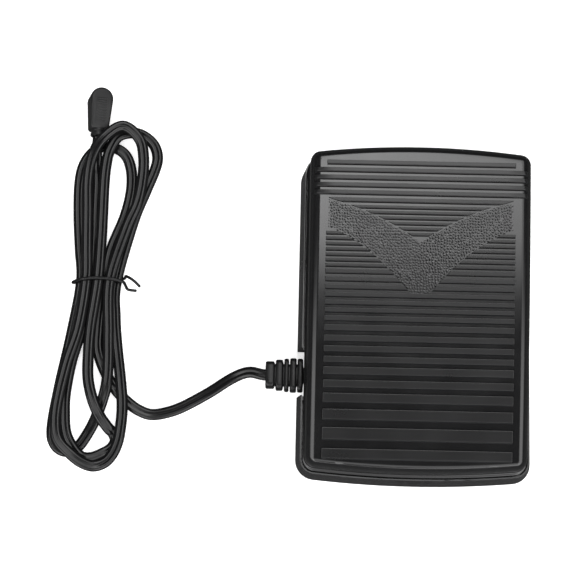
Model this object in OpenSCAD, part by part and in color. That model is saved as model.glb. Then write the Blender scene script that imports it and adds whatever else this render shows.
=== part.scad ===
// Foot pedal of a domestic sewing machine: a hinged treadle over a shallow base,
// with its speed control inside and a tied coil of flat flex ending in a moulded plug.
// Millimetres. +X is the right side, +Y the toe end, +Z up.
// The origin is on the floor, under the middle of the pedal.

/* [Treadle] */
// Width of the treadle over its bottom flange
treadle_w = 104; // [103.5:0.5:104.5]
// Length of the treadle over its bottom flange
treadle_l = 152; // [151:0.5:153]
// Height of the bottom edge at the heel
lip_heel_z = 12.5; // [12.3:0.1:12.9]
// Height of the bottom edge at the toe
lip_toe_z = 20.5; // [20.3:0.1:20.9]
// Height of the top face at the heel
top_heel_z = 25; // [24.8:0.1:25.3]
// Height of the top face at the toe
top_toe_z = 47; // [46.8:0.1:47.3]
// How far the top face bows up between heel and toe
top_bow = 2.5; // [2.3:0.1:2.8]
// Bow of the toe edge in plan
toe_bow = 3.4; // [3:0.1:3.8]
// Bow of the heel edge in plan
heel_bow = 2.8; // [2.4:0.1:3.2]
// Corner radius in plan
corner_r = 6; // [5:0.5:7]
// Wall thickness of the treadle shell
shell_t = 2.2; // [2:0.1:2.3]
// Width of the bottom flange along the sides
flange_w = 1; // [0.9:0.1:1]
// Extra width of the bottom flange at toe and heel
flange_end_w = 0.6; // [0.5:0.1:0.7]

/* [Tread pattern] */
// Height of the grip bars
bar_h = 0.8; // [0.5:0.1:1]
// Half length of a grip bar
bar_half_len = 43.3; // [42.8:0.1:43.8]
// Share of the pitch that is bar and not groove
bar_share = 0.58; // [0.5:0.01:0.65]
// Distance from the middle to the top edge of the first bar
first_bar_v = 67; // [66.8:0.1:67.2]

/* [Base] */
// Gap all round between the treadle flange and the base wall
rim_gap = 0.5; // [0.5:0.1:0.6]
// Thickness of the base wall at its top
wall_top_t = 0.6; // [0.6:0.1:0.8]
// Thickness of the base wall at its bottom
wall_bottom_t = 2.7; // [2.5:0.1:2.8]
// Thickness of the base floor
floor_t = 2.5; // [2.3:0.1:2.5]
// How far the rubber feet hold the base off the floor
foot_h = 2; // [2:0.1:2.2]

/* [Hinge] */
// Distance of the hinge line from the middle, towards the heel
hinge_back = 66; // [65.5:0.5:66]
// Height of the hinge line
hinge_z = 12; // [11.8:0.1:12]
// Diameter of the hinge rod
hinge_rod_d = 4; // [3.8:0.1:4]
// Running gap between rod and treadle ear, on the radius
hinge_gap = 0.05; // [0.03:0.01:0.08]

/* [Speed control] */
// Module of the rack and pinion
gear_module = 0.8; // [0.8:0.01:0.8]
// Number of pinion teeth
pinion_teeth = 12; // [12:1:12]
// Sideways place of the plunger
plunger_x = 22; // [21.5:0.5:22.5]

/* [Cord] */
// Width of the flat twin flex
cord_w = 5.4; // [5:0.1:5.4]
// Thickness of the flat twin flex
cord_t = 3.1; // [3:0.1:3.1]

/* [Hidden] */

plastic_black = "#1d1d1f";
plastic_dark = "#2c2c30";
rubber_black = "#141414";
steel = "#b9bcc0";
brass = "#c9a24a";
copper = "#b5703a";
board_green = "#2f6b3f";

half_w = treadle_w / 2;
half_l = treadle_l / 2;
floor_top = foot_h + floor_t;
hinge_y = -hinge_back;
// Steps along a corner arc and along a bowed end of the outline
corner_steps = 8;
end_steps = 20;

// ---- Curves of the treadle ----

chord = sqrt(pow(treadle_l, 2) + pow(top_toe_z - top_heel_z, 2));
face_r = (pow(chord / 2, 2) + pow(top_bow, 2)) / (2 * top_bow);
face_slope = atan2(top_toe_z - top_heel_z, treadle_l);
face_mid_z = (top_toe_z + top_heel_z) / 2;
face_cy = (face_r - top_bow) * sin(face_slope);
face_cz = face_mid_z - (face_r - top_bow) * cos(face_slope);

toe_r = (pow(half_w, 2) + pow(toe_bow, 2)) / (2 * toe_bow);
heel_r = (pow(half_w, 2) + pow(heel_bow, 2)) / (2 * heel_bow);
corner_x = half_w - corner_r;
toe_cy = half_l - toe_r;
heel_cy = heel_r - half_l;
toe_corner_y = toe_cy + sqrt(pow(toe_r - corner_r, 2) - pow(corner_x, 2));
heel_corner_y = heel_cy - sqrt(pow(heel_r - corner_r, 2) - pow(corner_x, 2));

// Height of the treadle's bottom edge at y
function lip_z(y) = lip_heel_z + (y + half_l) * (lip_toe_z - lip_heel_z) / treadle_l;
// Height of the treadle's top face at y
function face_z(y) = face_cz + sqrt(pow(face_r, 2) - pow(y - face_cy, 2));

// Points of an arc from one angle to another, without the first and last skip points
function arc_points(centre, r, from, to, steps, skip = 0) =
    [for (i = [skip:steps - skip]) let (a = from + (to - from) * i / steps) centre + r * [cos(a), sin(a)]];

// Outline of the treadle seen from above, moved inwards by inset, and by end_inset more at its ends
module plan_outline(inset = 0, end_inset = 0) {
    corner = corner_r - inset;
    toe_y = toe_corner_y - end_inset;
    heel_y = heel_corner_y + end_inset;
    toe_a = atan2(toe_corner_y - toe_cy, corner_x);
    heel_a = atan2(heel_cy - heel_corner_y, corner_x);
    polygon(concat(
        arc_points([corner_x, toe_y], corner, 0, toe_a, corner_steps),
        arc_points([0, toe_cy - end_inset], toe_r - inset, toe_a, 180 - toe_a, end_steps, 1),
        arc_points([-corner_x, toe_y], corner, 180 - toe_a, 180, corner_steps),
        arc_points([-corner_x, heel_y], corner, 180, 180 + heel_a, corner_steps),
        arc_points([0, heel_cy + end_inset], heel_r - inset, 180 + heel_a, 360 - heel_a, end_steps, 1),
        arc_points([corner_x, heel_y], corner, 360 - heel_a, 360, corner_steps)
    ));
}

// Points along the bowed face, lifted by lift, at even steps from heel to toe
function face_line(lift) = [for (y = [-85:5:85]) [y, face_z(y) + lift]];
// The same points in the other order
function face_line_back(lift) = [for (y = [85:-5:-85]) [y, face_z(y) + lift]];

// Side view, swept across the width: from the line low_z up to the bowed face lowered by drop
module side_prism(drop, low_heel_z, low_toe_z) {
    reach = 90;
    rotate([90, 0, 90])
        translate([0, 0, -reach])
            linear_extrude(height = 2 * reach)
                polygon(concat([[-85, low_heel_z], [85, low_toe_z]], face_line_back(-drop)));
}

// Everything under the face and inside the walls, moved inwards by inset, down to the bottom edge
module treadle_volume(inset) {
    intersection() {
        side_prism(inset, lip_z(-85), lip_z(85));
        linear_extrude(height = 80) plan_outline(flange_w + inset, flange_end_w);
    }
}

// The hollow of the shell, open below
module treadle_hollow() {
    intersection() {
        side_prism(shell_t, 0, 0);
        linear_extrude(height = 80) plan_outline(flange_w + shell_t, flange_end_w);
    }
}

// Sloping slab that follows the treadle's bottom edge, from z_low to z_high above it
module lip_slab(z_low, z_high) {
    reach = 90;
    rotate([90, 0, 90])
        translate([0, 0, -reach])
            linear_extrude(height = 2 * reach)
                polygon([
                    [-reach, lip_z(-reach) + z_low],
                    [reach, lip_z(reach) + z_low],
                    [reach, lip_z(reach) + z_high],
                    [-reach, lip_z(-reach) + z_high]
                ]);
}

// ---- Tread pattern ----

// Pitch of each grip bar, from the toe to the heel
toe_pitches = concat([for (i = [1:5]) 3.5], [3.4], [for (i = [1:12]) 2.47], [for (i = [1:6]) 3.55]);
heel_pitches = concat([4.1], [for (i = [1:4]) 4.8], [5.95, 5.95, 7.2, 8.3, 9.5, 10.5]);
bar_pitches = concat(toe_pitches, heel_pitches);
// Distance from the middle of the face to a bar's upper edge, measured along the face
function bar_v(i) = i == 0 ? first_bar_v : bar_v(i - 1) - bar_pitches[i - 1];
// Upper and lower edges of the pebbled chevron at a distance u from the middle line
function chevron_high(u) = 29.6 + 0.7 * u - 0.0058 * u * u;
function chevron_low(u) = max(5.4, 0.27 + 1.33 * u - 0.0117 * u * u);
chevron_half_w = 42.5;
chevron_step = 3.5;
v_to_y = cos(face_slope);

module chevron() {
    high = [for (u = [-chevron_half_w:chevron_step:chevron_half_w]) [u, chevron_high(abs(u)) * v_to_y]];
    low = [for (u = [chevron_half_w:-chevron_step:-chevron_half_w]) [u, chevron_low(abs(u)) * v_to_y]];
    polygon(concat(high, low));
}

// Layer that rises bar_h above the face and roots 1 mm into it
module bar_layer() {
    reach = 90;
    rotate([90, 0, 90])
        translate([0, 0, -reach])
            linear_extrude(height = 2 * reach)
                polygon(concat(face_line(-1), face_line_back(bar_h)));
}

module grip_bars() {
    intersection() {
        bar_layer();
        linear_extrude(height = 80)
            difference() {
                for (i = [0:len(bar_pitches) - 1])
                    translate([-bar_half_len, (bar_v(i) - bar_share * bar_pitches[i]) * v_to_y])
                        square([2 * bar_half_len, bar_share * bar_pitches[i] * v_to_y]);
                chevron();
            }
    }
}

// ---- Places that the parts share ----

ear_x = 35;
ear_t = 4;
cradle_x = 40;
cradle_t = 5;
spring_x = 38;
spring_y = 45;
spring_r = 4.4;
spring_wire_r = 0.6;
spring_top_z = 35.4;
bumper_x = 25;
bumper_y = 66;
bumper_top_z = 12;
stop_post_z = 26.3;
hook_x = 15;
hook_w = 9;
plunger_y = 18.5;
plunger_w = 6;
plunger_d = 6;
plunger_foot_z = 13.6;
plunger_top_z = 33;
pad_z = 33.05;
pitch_r = gear_module * pinion_teeth / 2;
rack_face_y = plunger_y + plunger_d / 2;
rack_pitch_y = rack_face_y + 0.9;
pinion_y = rack_pitch_y + pitch_r + 0.05;
pinion_z = 16.5;
pinion_x = 22;
board_z = 8;
board_t = 1.6;
board_top = board_z + board_t;
board_x0 = -35;
board_x1 = 14;
board_y0 = -38;
board_y1 = 36;
boot_y = -28.5;
boot_z = 7.2;
notch_y0 = -38.5;
notch_y1 = -16.5;
foot_places = [[-46, -69], [46, -69], [-45, 67], [45, 67]];
board_screw_places = [[-32, -35], [11, -35], [-32, 33], [2, 33]];
cap_screw_y = -57;
clamp_x = -half_w + 7;
clamp_screw_gap = 5.6;
clamp_seat_z = 5.6;
terminal_x = -25;
terminal_pitch = 5;
terminal_wire_z = 12.5;
heat_sink_t = 1.5;
triac_x = -19;
triac_tab_y = 22.5;
tie_x = -151.5;
tie_y = 15.5;
plug_x = -156.3;
plug_roll = 18;
plug_half_w = 5.5;
plug_lift = plug_half_w * sin(plug_roll) + 0.01;
plug_neck_y = 87.6;
plug_neck_z = 4.4;
contact_ys = [97, 103.5];

// ---- Fasteners ----

// Pan-head screw with a cross recess, its head resting on z = 0
module pan_screw(shank_r, shank_l, head_r, head_h) {
    recess = head_r * 1.1;
    difference() {
        union() {
            translate([0, 0, -shank_l]) cylinder(r = shank_r, h = shank_l, $fn = 32);
            cylinder(r = head_r, h = head_h, $fn = 32);
        }
        translate([-recess / 2, -0.35, head_h * 0.4]) cube([recess, 0.7, head_h]);
        translate([-0.35, -recess / 2, head_h * 0.4]) cube([0.7, recess, head_h]);
    }
}

// ---- Base ----

module base_tray() {
    difference() {
        hull() {
            translate([0, 0, foot_h]) linear_extrude(height = 0.1) plan_outline(-rim_gap - wall_bottom_t);
            intersection() {
                linear_extrude(height = 40) plan_outline(-rim_gap - wall_top_t);
                lip_slab(0.4, 0.5);
            }
        }
        translate([0, 0, floor_top]) linear_extrude(height = 60) plan_outline(-rim_gap);
        translate([-half_w - 10, notch_y0, 0]) cube([10.5, notch_y1 - notch_y0, 40]);
        for (place = foot_places)
            translate([place[0], place[1], 0]) cylinder(r = 2.5, h = 10, $fn = 32);
    }
}

// Inner wall that closes the cord notch, with a slot for the neck of the boot
module notch_wall() {
    wall_x = -half_w + 0.5;
    wall_top = 9.8;
    difference() {
        union() {
            translate([wall_x, notch_y0 - 2, foot_h])
                cube([2, notch_y1 - notch_y0 + 4, wall_top - foot_h]);
            for (y = [notch_y0 - 2, notch_y1])
                translate([-half_w - 1.5, y, foot_h]) cube([3, 2, wall_top - foot_h]);
        }
        translate([wall_x - 1, boot_y - 4, floor_top]) cube([4, 8, 20]);
    }
}

module hinge_cradle(side) {
    difference() {
        translate([side * cradle_x - cradle_t / 2, hinge_y - 3, foot_h + 1])
            cube([cradle_t, 16, hinge_z - foot_h - 1]);
        translate([side * cradle_x, hinge_y, hinge_z])
            rotate([0, 90, 0]) cylinder(r = hinge_rod_d / 2 + 0.02, h = 20, center = true, $fn = 48);
        translate([side * cradle_x, cap_screw_y, 5]) cylinder(r = 1.22, h = 20, $fn = 32);
    }
}

// Upright with a nose that stops the treadle rising past rest
module travel_hook(side) {
    translate([side * hook_x - hook_w / 2, 63, foot_h + 1]) cube([hook_w, 3, 25.2 - foot_h - 1]);
    translate([side * hook_x - hook_w / 2, 65, 22.6]) cube([hook_w, 5, 2.6]);
}

module board_post(place) {
    translate([place[0], place[1], foot_h + 1])
        difference() {
            cylinder(r = 3, h = board_z - foot_h - 1, $fn = 32);
            translate([0, 0, 1]) cylinder(r = 1.02, h = 10, $fn = 32);
        }
}

module screw_post(x, y, top, r_out, r_hole) {
    translate([x, y, foot_h + 1])
        difference() {
            cylinder(r = r_out, h = top - foot_h - 1, $fn = 32);
            translate([0, 0, 0.6]) cylinder(r = r_hole, h = 30, $fn = 32);
        }
}

module base_shell() color(plastic_black) {
    union() {
        base_tray();
        notch_wall();
        for (side = [-1, 1]) {
            hinge_cradle(side);
            travel_hook(side);
            translate([side * bumper_x, bumper_y, foot_h + 1]) cylinder(r = 1.5, h = 6, $fn = 32);
            translate([side * spring_x, spring_y, foot_h + 1]) cylinder(r = 3.2, h = 5, $fn = 32);
            screw_post(clamp_x, boot_y + side * clamp_screw_gap, clamp_seat_z, 2, 1.02);
        }
        translate([clamp_x - 1.4, boot_y - 3, foot_h + 1])
            cube([2.8, 6, boot_z - cord_t / 2 - 0.02 - foot_h - 1]);
        for (place = board_screw_places) board_post(place);
        for (side = [-1, 1]) screw_post(plunger_x + side * 3.2, 8.5, 5.6, 2.2, 1.02);
    }
}

module rubber_feet() color(rubber_black)
    for (place = foot_places)
        translate([place[0], place[1], 0]) {
            cylinder(r = 5, h = foot_h, $fn = 48);
            cylinder(r = 2.48, h = floor_top + 0.6, $fn = 32);
            translate([0, 0, floor_top]) cylinder(r = 3.2, h = 0.8, $fn = 32);
        }

module stop_bumpers() color(rubber_black)
    for (side = [-1, 1])
        translate([side * bumper_x, bumper_y, floor_top])
            difference() {
                cylinder(r = 4, h = bumper_top_z - floor_top, $fn = 48);
                translate([0, 0, -1]) cylinder(r = 1.55, h = 6, $fn = 32);
            }

// ---- Hinge ----

module hinge_pin() color(steel)
    translate([-44, hinge_y, hinge_z])
        rotate([0, 90, 0]) cylinder(r = hinge_rod_d / 2, h = 88, $fn = 48);

module hinge_caps() color(plastic_dark)
    for (side = [-1, 1])
        difference() {
            translate([side * cradle_x - cradle_t / 2, hinge_y - 3, hinge_z]) cube([cradle_t, 16, 4.6]);
            translate([side * cradle_x, hinge_y, hinge_z])
                rotate([0, 90, 0]) cylinder(r = hinge_rod_d / 2 + 0.02, h = 20, center = true, $fn = 48);
            translate([side * cradle_x, cap_screw_y, 5]) cylinder(r = 1.3, h = 20, $fn = 32);
        }

module hinge_cap_screws() color(steel)
    for (side = [-1, 1])
        translate([side * cradle_x, cap_screw_y, hinge_z + 4.6]) pan_screw(1.2, 11, 2.3, 1.5);

// ---- Treadle ----

module treadle_ear(side) {
    translate([side * ear_x - ear_t / 2, hinge_y - 5, hinge_z]) cube([ear_t, 10, 20]);
    translate([side * ear_x - ear_t / 2, hinge_y, hinge_z])
        rotate([0, 90, 0]) cylinder(r = 5, h = ear_t, $fn = 48);
}

// Posts, pads and ledges under the face
module treadle_fittings() {
    for (side = [-1, 1]) {
        treadle_ear(side);
        translate([side * bumper_x, bumper_y, stop_post_z]) cylinder(r = 3, h = 30, $fn = 32);
        translate([side * spring_x, spring_y, spring_top_z]) cylinder(r = 6, h = 30, $fn = 48);
        translate([side * spring_x, spring_y, spring_top_z - 3]) cylinder(r = 3.2, h = 30, $fn = 32);
        translate([side * hook_x - 6, 67.5, 20.7]) cube([12, 5.2, 1.7]);
    }
    translate([plunger_x - 5, plunger_y - 6, pad_z]) cube([10, 13, 20]);
}

module treadle_shell() {
    difference() {
        union() {
            treadle_volume(0);
            intersection() {
                lip_slab(0, 1.2);
                linear_extrude(height = 80) plan_outline();
            }
        }
        treadle_hollow();
    }
}

module treadle_cover() color(plastic_black) {
    difference() {
        union() {
            treadle_shell();
            grip_bars();
            intersection() {
                side_prism(shell_t - 0.4, 0, 0);
                treadle_fittings();
            }
        }
        translate([0, hinge_y, hinge_z])
            rotate([0, 90, 0])
                cylinder(r = hinge_rod_d / 2 + hinge_gap, h = 90, center = true, $fn = 48);
    }
}

// ---- Sweeps ----

function unit(v) = v / norm(v);
function blend_point(a, b, c, d, t) = 0.5 * (2 * b + (c - a) * t
    + (2 * a - 5 * b + 4 * c - d) * pow(t, 2) + (3 * b - a - 3 * c + d) * pow(t, 3));
// Smooth curve through the points, with a number of steps between neighbours
function smooth_path(points, steps) = let (last = len(points) - 1) concat(
    [for (i = [0:last - 1], k = [0:steps - 1]) blend_point(
        points[max(i - 1, 0)], points[i], points[i + 1], points[min(i + 2, last)], k / steps)],
    [points[last]]);
function tangent(path, i) = unit(path[min(i + 1, len(path) - 1)] - path[max(i - 1, 0)]);
// Level direction across the path, and the direction square to it and to the path
function level_side(path, i) = unit(cross(tangent(path, i), [0, 0, 1]));
function upright(path, i) = cross(level_side(path, i), tangent(path, i));

// A solid that carries the section along the path; across holds one direction per point
module sweep(path, across, section) {
    n = len(section);
    m = len(path);
    points = [for (i = [0:m - 1], s = section)
        path[i] + s[0] * across[i] + s[1] * cross(across[i], tangent(path, i))];
    sides = [for (i = [0:m - 2], j = [0:n - 1]) let (a = i * n + j, b = i * n + (j + 1) % n)
        each [[a, b, b + n], [a, b + n, a + n]]];
    start_cap = [[for (j = [n - 1:-1:0]) j]];
    end_cap = [[for (j = [0:n - 1]) (m - 1) * n + j]];
    polyhedron(points = points, faces = concat(sides, start_cap, end_cap), convexity = 10);
}

module level_sweep(path, section)
    sweep(path, [for (i = [0:len(path) - 1]) level_side(path, i)], section);

function ring(r, count) = [for (j = [0:count - 1]) r * [cos(360 * j / count), sin(360 * j / count)]];

// Coil standing on z = z0; the first and last part of a turn, flat, lie level
module coil(x, y, z0, z1, mean_r, wire_r, turns, per_turn, sides, flat = 0.75) {
    rise = (z1 - z0 - 2 * wire_r) / (turns - 2 * flat);
    path = [for (i = [0:turns * per_turn]) let (t = i / per_turn) [
        x + mean_r * cos(360 * t),
        y + mean_r * sin(360 * t),
        z0 + wire_r + rise * (min(max(t, flat), turns - flat) - flat)]];
    sweep(path, [for (i = [0:turns * per_turn]) [cos(360 * i / per_turn), sin(360 * i / per_turn), 0]],
          ring(wire_r, sides));
}

// ---- Springs ----

module return_spring(side) color(steel)
    coil(side * spring_x, spring_y, floor_top + 0.02, spring_top_z - 0.02,
         spring_r, spring_wire_r, 7, 18, 8);

module return_spring_left() return_spring(-1);
module return_spring_right() return_spring(1);

module plunger_spring() color(steel)
    coil(plunger_x, plunger_y, floor_top + 0.02, 25.98, 1.5, 0.3, 9, 12, 6);

// ---- Speed control ----

// Plunger with a domed top, a bore for its spring and a rack down its toe side
module speed_plunger() color("#d8d5cc") {
    dome_r = 6;
    root = rack_pitch_y - rack_face_y - 0.85;
    tooth_pitch = PI * gear_module;
    backlash = 0.1;
    tip_half = tooth_pitch / 4 - backlash - 0.5 * tan(20);
    base_half = tooth_pitch / 4 - backlash + 0.9 * tan(20);
    difference() {
        union() {
            intersection() {
                translate([plunger_x - plunger_w / 2, plunger_y - plunger_d / 2, plunger_foot_z])
                    cube([plunger_w, plunger_d, plunger_top_z - plunger_foot_z]);
                union() {
                    translate([plunger_x, plunger_y, plunger_top_z - dome_r]) sphere(r = dome_r, $fn = 96);
                    translate([plunger_x - 10, plunger_y - 10, 0]) cube([20, 20, plunger_top_z - dome_r]);
                }
            }
            for (i = [0:5])
                translate([plunger_x - 2.5, 0, pinion_z + (i - 0.5) * tooth_pitch])
                    rotate([90, 0, 90])
                        linear_extrude(height = 5)
                            polygon([
                                [rack_face_y - 0.3, -base_half],
                                [rack_face_y, -base_half],
                                [rack_pitch_y + 0.5, -tip_half],
                                [rack_pitch_y + 0.5, tip_half],
                                [rack_face_y, base_half],
                                [rack_face_y - 0.3, base_half]
                            ]);
        }
        translate([plunger_x, plunger_y, 0]) cylinder(r = 2, h = 26, $fn = 48);
    }
}

module plunger_guide() color(plastic_dark) {
    gap = 0.12;
    wall = 2;
    top = 21.5;
    x0 = plunger_x - plunger_w / 2 - gap - wall;
    y0 = plunger_y - plunger_d / 2 - gap - wall;
    width = plunger_w + 2 * (gap + wall);
    difference() {
        union() {
            translate([x0, y0, floor_top]) cube([width, plunger_d + gap + wall - 0.6, top - floor_top]);
            translate([x0 - 0.5, 5, 5.6]) cube([width + 1, y0 - 5 + 0.5, 2]);
            translate([x0 - 0.5, y0 - 1.5, floor_top]) cube([width + 1, 2, 3.1]);
        }
        translate([x0 + wall, y0 + wall, 0]) cube([plunger_w + 2 * gap, 20, 40]);
        for (side = [-1, 1])
            translate([plunger_x + side * 3.2, 8.5, 0]) cylinder(r = 1.15, h = 20, $fn = 32);
    }
}

module guide_screws() color(steel)
    for (side = [-1, 1])
        translate([plunger_x + side * 3.2, 8.5, 7.6]) pan_screw(1, 3, 1.9, 1.2);

// Involute function, in degrees
function involute(a) = tan(a) * 180 / PI - a;
// Angle between a tooth's middle and its flank at radius r
function flank_angle(r, base_r, half_angle) =
    half_angle + involute(20) - involute(acos(min(1, base_r / r)));

// Involute pinion on the control's shaft; one tooth points at the rack
module pot_pinion() color("#e4e0d4") {
    base_r = pitch_r * cos(20);
    tip_r = pitch_r + 0.65;
    root_r = pitch_r - 0.72;
    face_w = 4.6;
    backlash = 0.1;
    half_angle = (90 / pinion_teeth) - backlash / pitch_r * 180 / PI;
    radii = [for (i = [0:5]) base_r + (tip_r - base_r) * i / 5];
    half_angles = [for (r = radii) flank_angle(r, base_r, half_angle)];
    tooth = concat(
        [[root_r - 0.5, half_angles[0]], [root_r - 0.5, -half_angles[0]]],
        [for (i = [0:5]) [radii[i], -half_angles[i]]],
        [for (i = [5:-1:0]) [radii[i], half_angles[i]]]);
    translate([pinion_x - face_w / 2, pinion_y, pinion_z])
        rotate([90, 0, 90])
            difference() {
                linear_extrude(height = face_w)
                    union() {
                        circle(r = root_r, $fn = 48);
                        for (i = [0:pinion_teeth - 1])
                            rotate(180 + 360 * i / pinion_teeth)
                                polygon([for (p = tooth) p[0] * [cos(p[1]), sin(p[1])]]);
                    }
                translate([0, 0, -1]) intersection() {
                    cylinder(r = 1.52, h = 10, $fn = 48);
                    translate([-5, -5, 0]) cube([10, 6.02, 10]);
                }
            }
}

// D-shaped shaft of the rotary control
module pot_shaft() color(brass)
    translate([14.3, pinion_y, pinion_z])
        rotate([90, 0, 90]) {
            cylinder(r = 1.5, h = 2.4, $fn = 48);
            intersection() {
                cylinder(r = 1.5, h = 10.5, $fn = 48);
                translate([-5, -5, 0]) cube([10, 6, 12]);
            }
        }

module pot_body() color("#3a4a78") {
    size = 11;
    difference() {
        union() {
            translate([7, pinion_y - size / 2, pinion_z - size / 2]) cube([7, size, size]);
            translate([13.5, pinion_y, pinion_z]) rotate([0, 90, 0]) cylinder(r = 3, h = 2.5, $fn = 48);
        }
        translate([12.4, pinion_y, pinion_z]) rotate([0, 90, 0]) cylinder(r = 1.56, h = 10, $fn = 48);
    }
    for (leg = [-1, 0, 1])
        translate([10.2, pinion_y + leg * 2.54 - 0.3, board_top]) cube([0.5, 0.6, 2]);
}

// ---- Circuit board ----

module circuit_board() color(board_green)
    difference() {
        translate([board_x0, board_y0, board_z])
            cube([board_x1 - board_x0, board_y1 - board_y0, board_t]);
        for (place = board_screw_places)
            translate([place[0], place[1], 0]) cylinder(r = 1.2, h = 20, $fn = 32);
    }

module board_screws() color(steel)
    for (place = board_screw_places)
        translate([place[0], place[1], board_top]) pan_screw(1, 4.6, 1.9, 1.2);

// Aluminium channel that lies on the board under the triac
module heat_sink() color("#c4c8cc") {
    width = 22;
    depth = 18;
    difference() {
        union() {
            translate([triac_x - width / 2, 8, board_top]) cube([width, depth, heat_sink_t]);
            for (side = [-1, 1])
                translate([triac_x + side * (width - heat_sink_t) / 2 - heat_sink_t / 2, 8, board_top])
                    cube([heat_sink_t, depth, 10]);
        }
        translate([triac_x, triac_tab_y, 0]) cylinder(r = 1.47, h = 20, $fn = 32);
    }
}

module triac() color("#26262a") {
    base_z = board_top + heat_sink_t;
    difference() {
        union() {
            translate([triac_x - 5, 10, base_z]) cube([10, 9, 4.5]);
            translate([triac_x - 5, 18, base_z]) cube([10, 7, 1.3]);
        }
        translate([triac_x, triac_tab_y, 0]) cylinder(r = 1.8, h = 30, $fn = 32);
    }
    for (leg = [-1, 0, 1])
        translate([triac_x + leg * 2.54 - 0.4, 0, 0]) {
            translate([0, 6, base_z + 1.4]) cube([0.8, 4.2, 0.5]);
            translate([0, 6, board_top]) cube([0.8, 0.5, heat_sink_t + 1.9]);
        }
}

module triac_screw() color(steel)
    translate([triac_x, triac_tab_y, board_top + heat_sink_t + 1.3]) pan_screw(1.45, 2.7, 2.4, 1.8);

module box_with_feet(x, y, width, depth, height, foot_gap) {
    translate([x - width / 2, y - depth / 2, board_top + 0.6]) cube([width, depth, height]);
    for (end = [-1, 1])
        translate([x + end * foot_gap, y, board_top]) cylinder(r = 0.4, h = 1, $fn = 24);
}

module suppression_capacitor() color("#d3b13c")
    box_with_feet(-12, -14, 18, 8, 10.5, 7.5);

module timing_capacitors() color("#a83a2c")
    for (y = [-8, -2]) box_with_feet(6, y, 7.2, 2.6, 6, 2.5);

// Ferrite bobbin of the interference choke
module choke_core() color("#3d3f44")
    translate([-22, -2, board_top]) {
        cylinder(r = 5.4, h = 1.2, $fn = 48);
        cylinder(r = 3.4, h = 10, $fn = 48);
        translate([0, 0, 8.8]) cylinder(r = 5.4, h = 1.2, $fn = 48);
    }

module choke_winding() color(copper)
    coil(-22, -2, board_top + 1.35, board_top + 8.65, 4, 0.5, 6, 16, 6, 0);

// Body lying along x on two bent leads
module axial_part(x, y, body_r, body_l, span, lead_r) {
    z = board_top + body_r + 0.4;
    translate([x - body_l / 2, y, z]) rotate([0, 90, 0]) cylinder(r = body_r, h = body_l, $fn = 32);
    translate([x - span / 2 - lead_r, y, z]) rotate([0, 90, 0])
        cylinder(r = lead_r, h = span + 2 * lead_r, $fn = 24);
    for (end = [-1, 1])
        translate([x + end * span / 2, y, board_top]) cylinder(r = lead_r, h = z - board_top, $fn = 24);
}

module resistors() color("#c8a878")
    for (y = [6:4:18]) axial_part(0, y, 1.15, 6.5, 10, 0.3);

module diac() color("#3c6cae")
    axial_part(5, -16, 0.95, 4.2, 7.5, 0.28);

module fuse() color("#d9dde0") {
    axial_part(-5, -28, 2.4, 20, 23, 0.4);
    for (end = [-1, 1])
        translate([-5 + end * 7.5 - 2.5, -28, board_top + 2.8])
            rotate([0, 90, 0]) cylinder(r = 2.6, h = 5, $fn = 32);
}

module terminal_block() color("#3f7f9c") {
    size = 10;
    difference() {
        translate([terminal_x - size / 2, boot_y - size / 2, board_top]) cube([size, size, size]);
        for (side = [-1, 1]) {
            translate([terminal_x - size, boot_y + side * terminal_pitch / 2, terminal_wire_z])
                rotate([0, 90, 0]) cylinder(r = 1.3, h = size, $fn = 32);
            translate([terminal_x, boot_y + side * terminal_pitch / 2, terminal_wire_z + 1.6])
                cylinder(r = 1.6, h = 20, $fn = 32);
        }
    }
}

module terminal_screws() color(steel)
    for (side = [-1, 1])
        translate([terminal_x, boot_y + side * terminal_pitch / 2, terminal_wire_z + 1.6])
            difference() {
                cylinder(r = 1.5, h = 4.6, $fn = 32);
                translate([-2, -0.3, 3.8]) cube([4, 0.6, 2]);
            }

// ---- Cord ----

module cord_clamp() color(plastic_dark) {
    top = 11;
    difference() {
        translate([clamp_x - 1.8, boot_y - 7.6, clamp_seat_z]) cube([3.6, 15.2, top - clamp_seat_z]);
        translate([clamp_x - 3, boot_y - cord_w / 2 - 0.3, 0])
            cube([6, cord_w + 0.6, boot_z + cord_t / 2 + 0.02]);
        for (side = [-1, 1])
            translate([clamp_x, boot_y + side * clamp_screw_gap, 0]) cylinder(r = 1.15, h = 20, $fn = 32);
    }
}

module cord_clamp_screws() color(steel)
    for (side = [-1, 1])
        translate([clamp_x, boot_y + side * clamp_screw_gap, 11]) pan_screw(1, 6.3, 1.75, 1.2);

// Insulated core from the end of the flex to its terminal
module core_lead(side) {
    start_x = clamp_x + 2.4;
    path = smooth_path([
        [start_x, boot_y + side * 1.2, boot_z],
        [start_x + 2, boot_y + side * 1.5, boot_z + 1],
        [start_x + 5, boot_y + side * 2.2, terminal_wire_z - 0.6],
        [start_x + 8, boot_y + side * terminal_pitch / 2, terminal_wire_z],
        [terminal_x - 2, boot_y + side * terminal_pitch / 2, terminal_wire_z]
    ], 4);
    level_sweep(path, ring(0.85, 8));
}

module lead_live() color("#7a4a2a") core_lead(-1);
module lead_neutral() color("#3a62a8") core_lead(1);

module rounded_bar(width, height, edge_r) {
    square([width, height - 2 * edge_r], center = true);
    square([width - 2 * edge_r, height], center = true);
    for (side = [-1, 1], end = [-1, 1])
        translate([side * (width / 2 - edge_r), end * (height / 2 - edge_r)]) circle(r = edge_r, $fn = 24);
}

// Block of the boot; x_in and x_out count inwards from the side of the treadle
module boot_block(x_in, x_out, width, height, edge_r)
    translate([-half_w + x_out, boot_y, boot_z])
        rotate([90, 0, 90])
            linear_extrude(height = x_in - x_out) rounded_bar(width, height, edge_r);

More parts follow.
